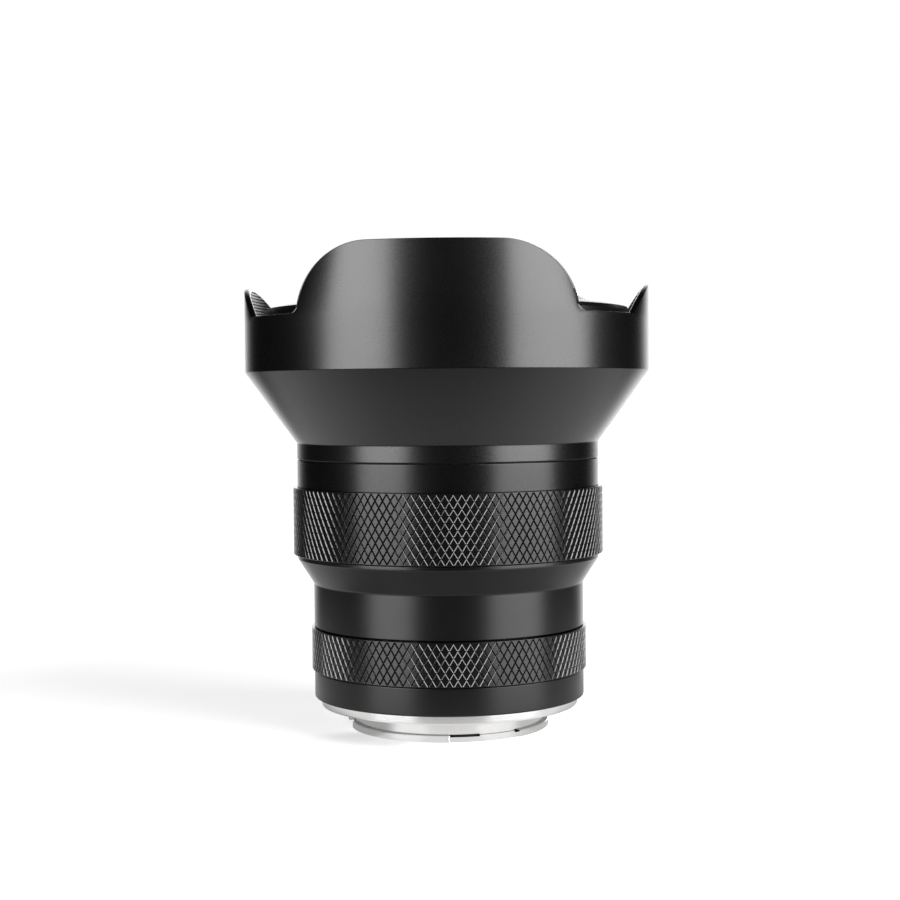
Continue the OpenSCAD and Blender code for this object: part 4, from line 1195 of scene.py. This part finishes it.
def pale_floor():
    """A white floor that fades into the white behind it, and keeps the shadow of the lens. It has a painted
    shade at the mount, and shows shiny pieces a glowing sheet with painted light and shadow.
    """
    bm = bmesh.new()
    bmesh.ops.create_grid(bm, x_segments=1, y_segments=1, size=4.0)
    bmesh.ops.translate(bm, verts=bm.verts, vec=(0, 0, -0.00002))
    f = Finish("pale_floor", {"Roughness": 0.6, "Specular IOR Level": 0.1})

    def cosine(turn):
        """Cosine of the angle round the axis from a side angle."""
        along = f.node("ShaderNodeVectorMath", {"operation": "DOT_PRODUCT"},
                       {0: f.place(), 1: side(turn, 1 / MM)}, out="Value")
        return along / f.axis()

    def towards(turn, wide, narrow):
        """1 in the direction of a side angle, easing to 0 between two angles from it."""
        return cosine(turn).span(math.cos(math.radians(wide)), math.cos(math.radians(narrow)))

    # What the camera sees: pale, with a light painted shade where the mount meets it at the left, darkening
    # its colour and its lift
    cloud = f.noise(f.place(), 3.0, 2.0)
    pale = f.blend(cloud, (0.86, 0.86, 0.86, 1), (0.88, 0.88, 0.88, 1))
    corner = towards(CAMERA_TURN - 42, 30, 10) * 0.32 + towards(CAMERA_TURN - 87, 35, 12) * 0.1
    painted_contact_shade = f.axis().span(0.022, 0.046, 1.0, 0.0) * corner
    f.set("Base Color", f.blend(painted_contact_shade, pale, (0, 0, 0, 1)))
    seen = f.ray("Is Camera Ray") + f.ray("Is Transmission Ray")
    lift = seen * f.axis().span(0.22, 0.75, FLOOR_LIFT, 1.0) * (1 - painted_contact_shade)
    glow = f.node("ShaderNodeEmission", {}, {"Color": lift})
    lit = f.node("ShaderNodeAddShader", {}, {0: Val(f, f.shader.outputs[0]), 1: glow})

    # What shiny pieces show of it: a glowing sheet with a painted oval of lit floor round the lens, and all
    # of the floor behind it
    aside = f.node("ShaderNodeMapping", {"vector_type": "POINT"},
                   {"Vector": f.place(), "Location": (0, -0.05, 0), "Scale": (0.6, 1, 0)})
    near = f.length(aside).span(0.08, 0.165, 1.0, ROOM_LEVEL)
    behind = (f.part(f.place(), "Y") / f.axis()).span(0.6, 0.97)

    # Its level close to the mount, painted by place: painted light in front and towards the lamps, and a
    # painted shadow of the lens
    lamps = towards(CAMERA_TURN - 35, 21, 13) + towards(CAMERA_TURN + 42, 23, 15)
    front = (cosine(CAMERA_TURN + 4.5) + f.axis() * 19).span(1.15, 1.33)
    painted_shade = towards(CAMERA_TURN - 82, 37, 33)
    close = 0.54 + front * 0.23 + lamps * 0.1 - painted_shade * 0.17
    far = f.axis().span(0.052, 0.064)
    # Behind the lens the sheet also carries the painted highlight of BACK_GAIN
    level = close + (0.88 - close) * far + behind * f.axis().span(0.07, 0.14) * BACK_GAIN
    painted_floor_light = (near + (1 - near) * behind) * level
    painted_reflection_sheet = f.node("ShaderNodeEmission", {}, {"Color": painted_floor_light})
    polish = f.node("ShaderNodeBsdfAnisotropic", {}, {"Color": (1, 1, 1, 1), "Roughness": 0.2})
    gloss = f.node("ShaderNodeFresnel", {}, {"IOR": 1.45}) * f.axis().span(0.06, 0.11)
    mirrored = f.node("ShaderNodeMixShader", {}, {0: gloss, 1: painted_reflection_sheet, 2: polish})
    both = f.node("ShaderNodeMixShader", {}, {0: f.ray("Is Glossy Ray"), 1: lit, 2: mirrored})
    f.feed(f.tree.nodes["Material Output"].inputs["Surface"], both)
    floor = finish_mesh("floor", bm, [f.material])


def surroundings():
    """White behind the lens, for the camera and in what shines, with a painted highlight in what shines,
    and dim on the other sides.
    """
    world = bpy.data.worlds.new("studio")
    bpy.context.scene.world = world
    world.use_nodes = True
    g = Graph(world.node_tree)
    way = g.node("ShaderNodeTexCoord", out="Generated")
    behind = g.part(way, "Y").span(0.79, 0.985)
    seen = g.ray("Is Camera Ray")
    # Glossy rays see the white behind the lens brighter: painted highlight
    bright = 1 + g.ray("Is Glossy Ray") * BACK_GAIN
    fill = g.ray("Is Diffuse Ray") * ROOM_FILL
    strength = seen + (1 - seen) * (ROOM_LEVEL + behind * bright + fill)
    back = world.node_tree.nodes["Background"]
    back.inputs["Color"].default_value = (1, 1, 1, 1)
    g.feed(back.inputs["Strength"], strength)


def soft_box(name, turn, low, high, width):
    """A standing soft lamp at a side angle, facing the axis. Heights and sizes are in metres."""
    lamp = bpy.data.lights.new(name, "AREA")
    lamp.shape = "RECTANGLE"
    lamp.size = width
    lamp.size_y = high - low
    lamp.energy = math.pi * width * (high - low) * BOX_RADIANCE
    obj = new_object(name, lamp)
    obj.location = side(turn, BOX_DISTANCE / MM, (low + high) / 2 / MM)
    inward = Vector((-obj.location.x, -obj.location.y, 0))
    obj.rotation_euler = inward.to_track_quat("-Z", "Y").to_euler()


def photo_camera():
    data = bpy.data.cameras.new("camera")
    data.sensor_width = 36.0
    data.lens = CAMERA_LENS
    camera = new_object("camera", data)
    camera.location = side(CAMERA_TURN, CAMERA_DISTANCE, CAMERA_HEIGHT)
    tilt = Matrix.Rotation(math.radians(90 - CAMERA_TILT), 4, "X")
    roll = Matrix.Rotation(math.radians(CAMERA_ROLL), 4, "Z")
    pan = Matrix.Rotation(math.radians(CAMERA_TURN - CAMERA_PAN), 4, "Z")
    camera.rotation_euler = (pan @ tilt @ roll).to_euler()
    bpy.context.scene.camera = camera


soft_box("left_box", CAMERA_TURN - 48.7, low=0.02, high=0.66, width=0.55)
soft_box("right_box", CAMERA_TURN + 58, low=0.02, high=1.06, width=0.71)
pale_floor()
surroundings()
photo_camera()
bpy.context.scene.view_settings.view_transform = "Standard"
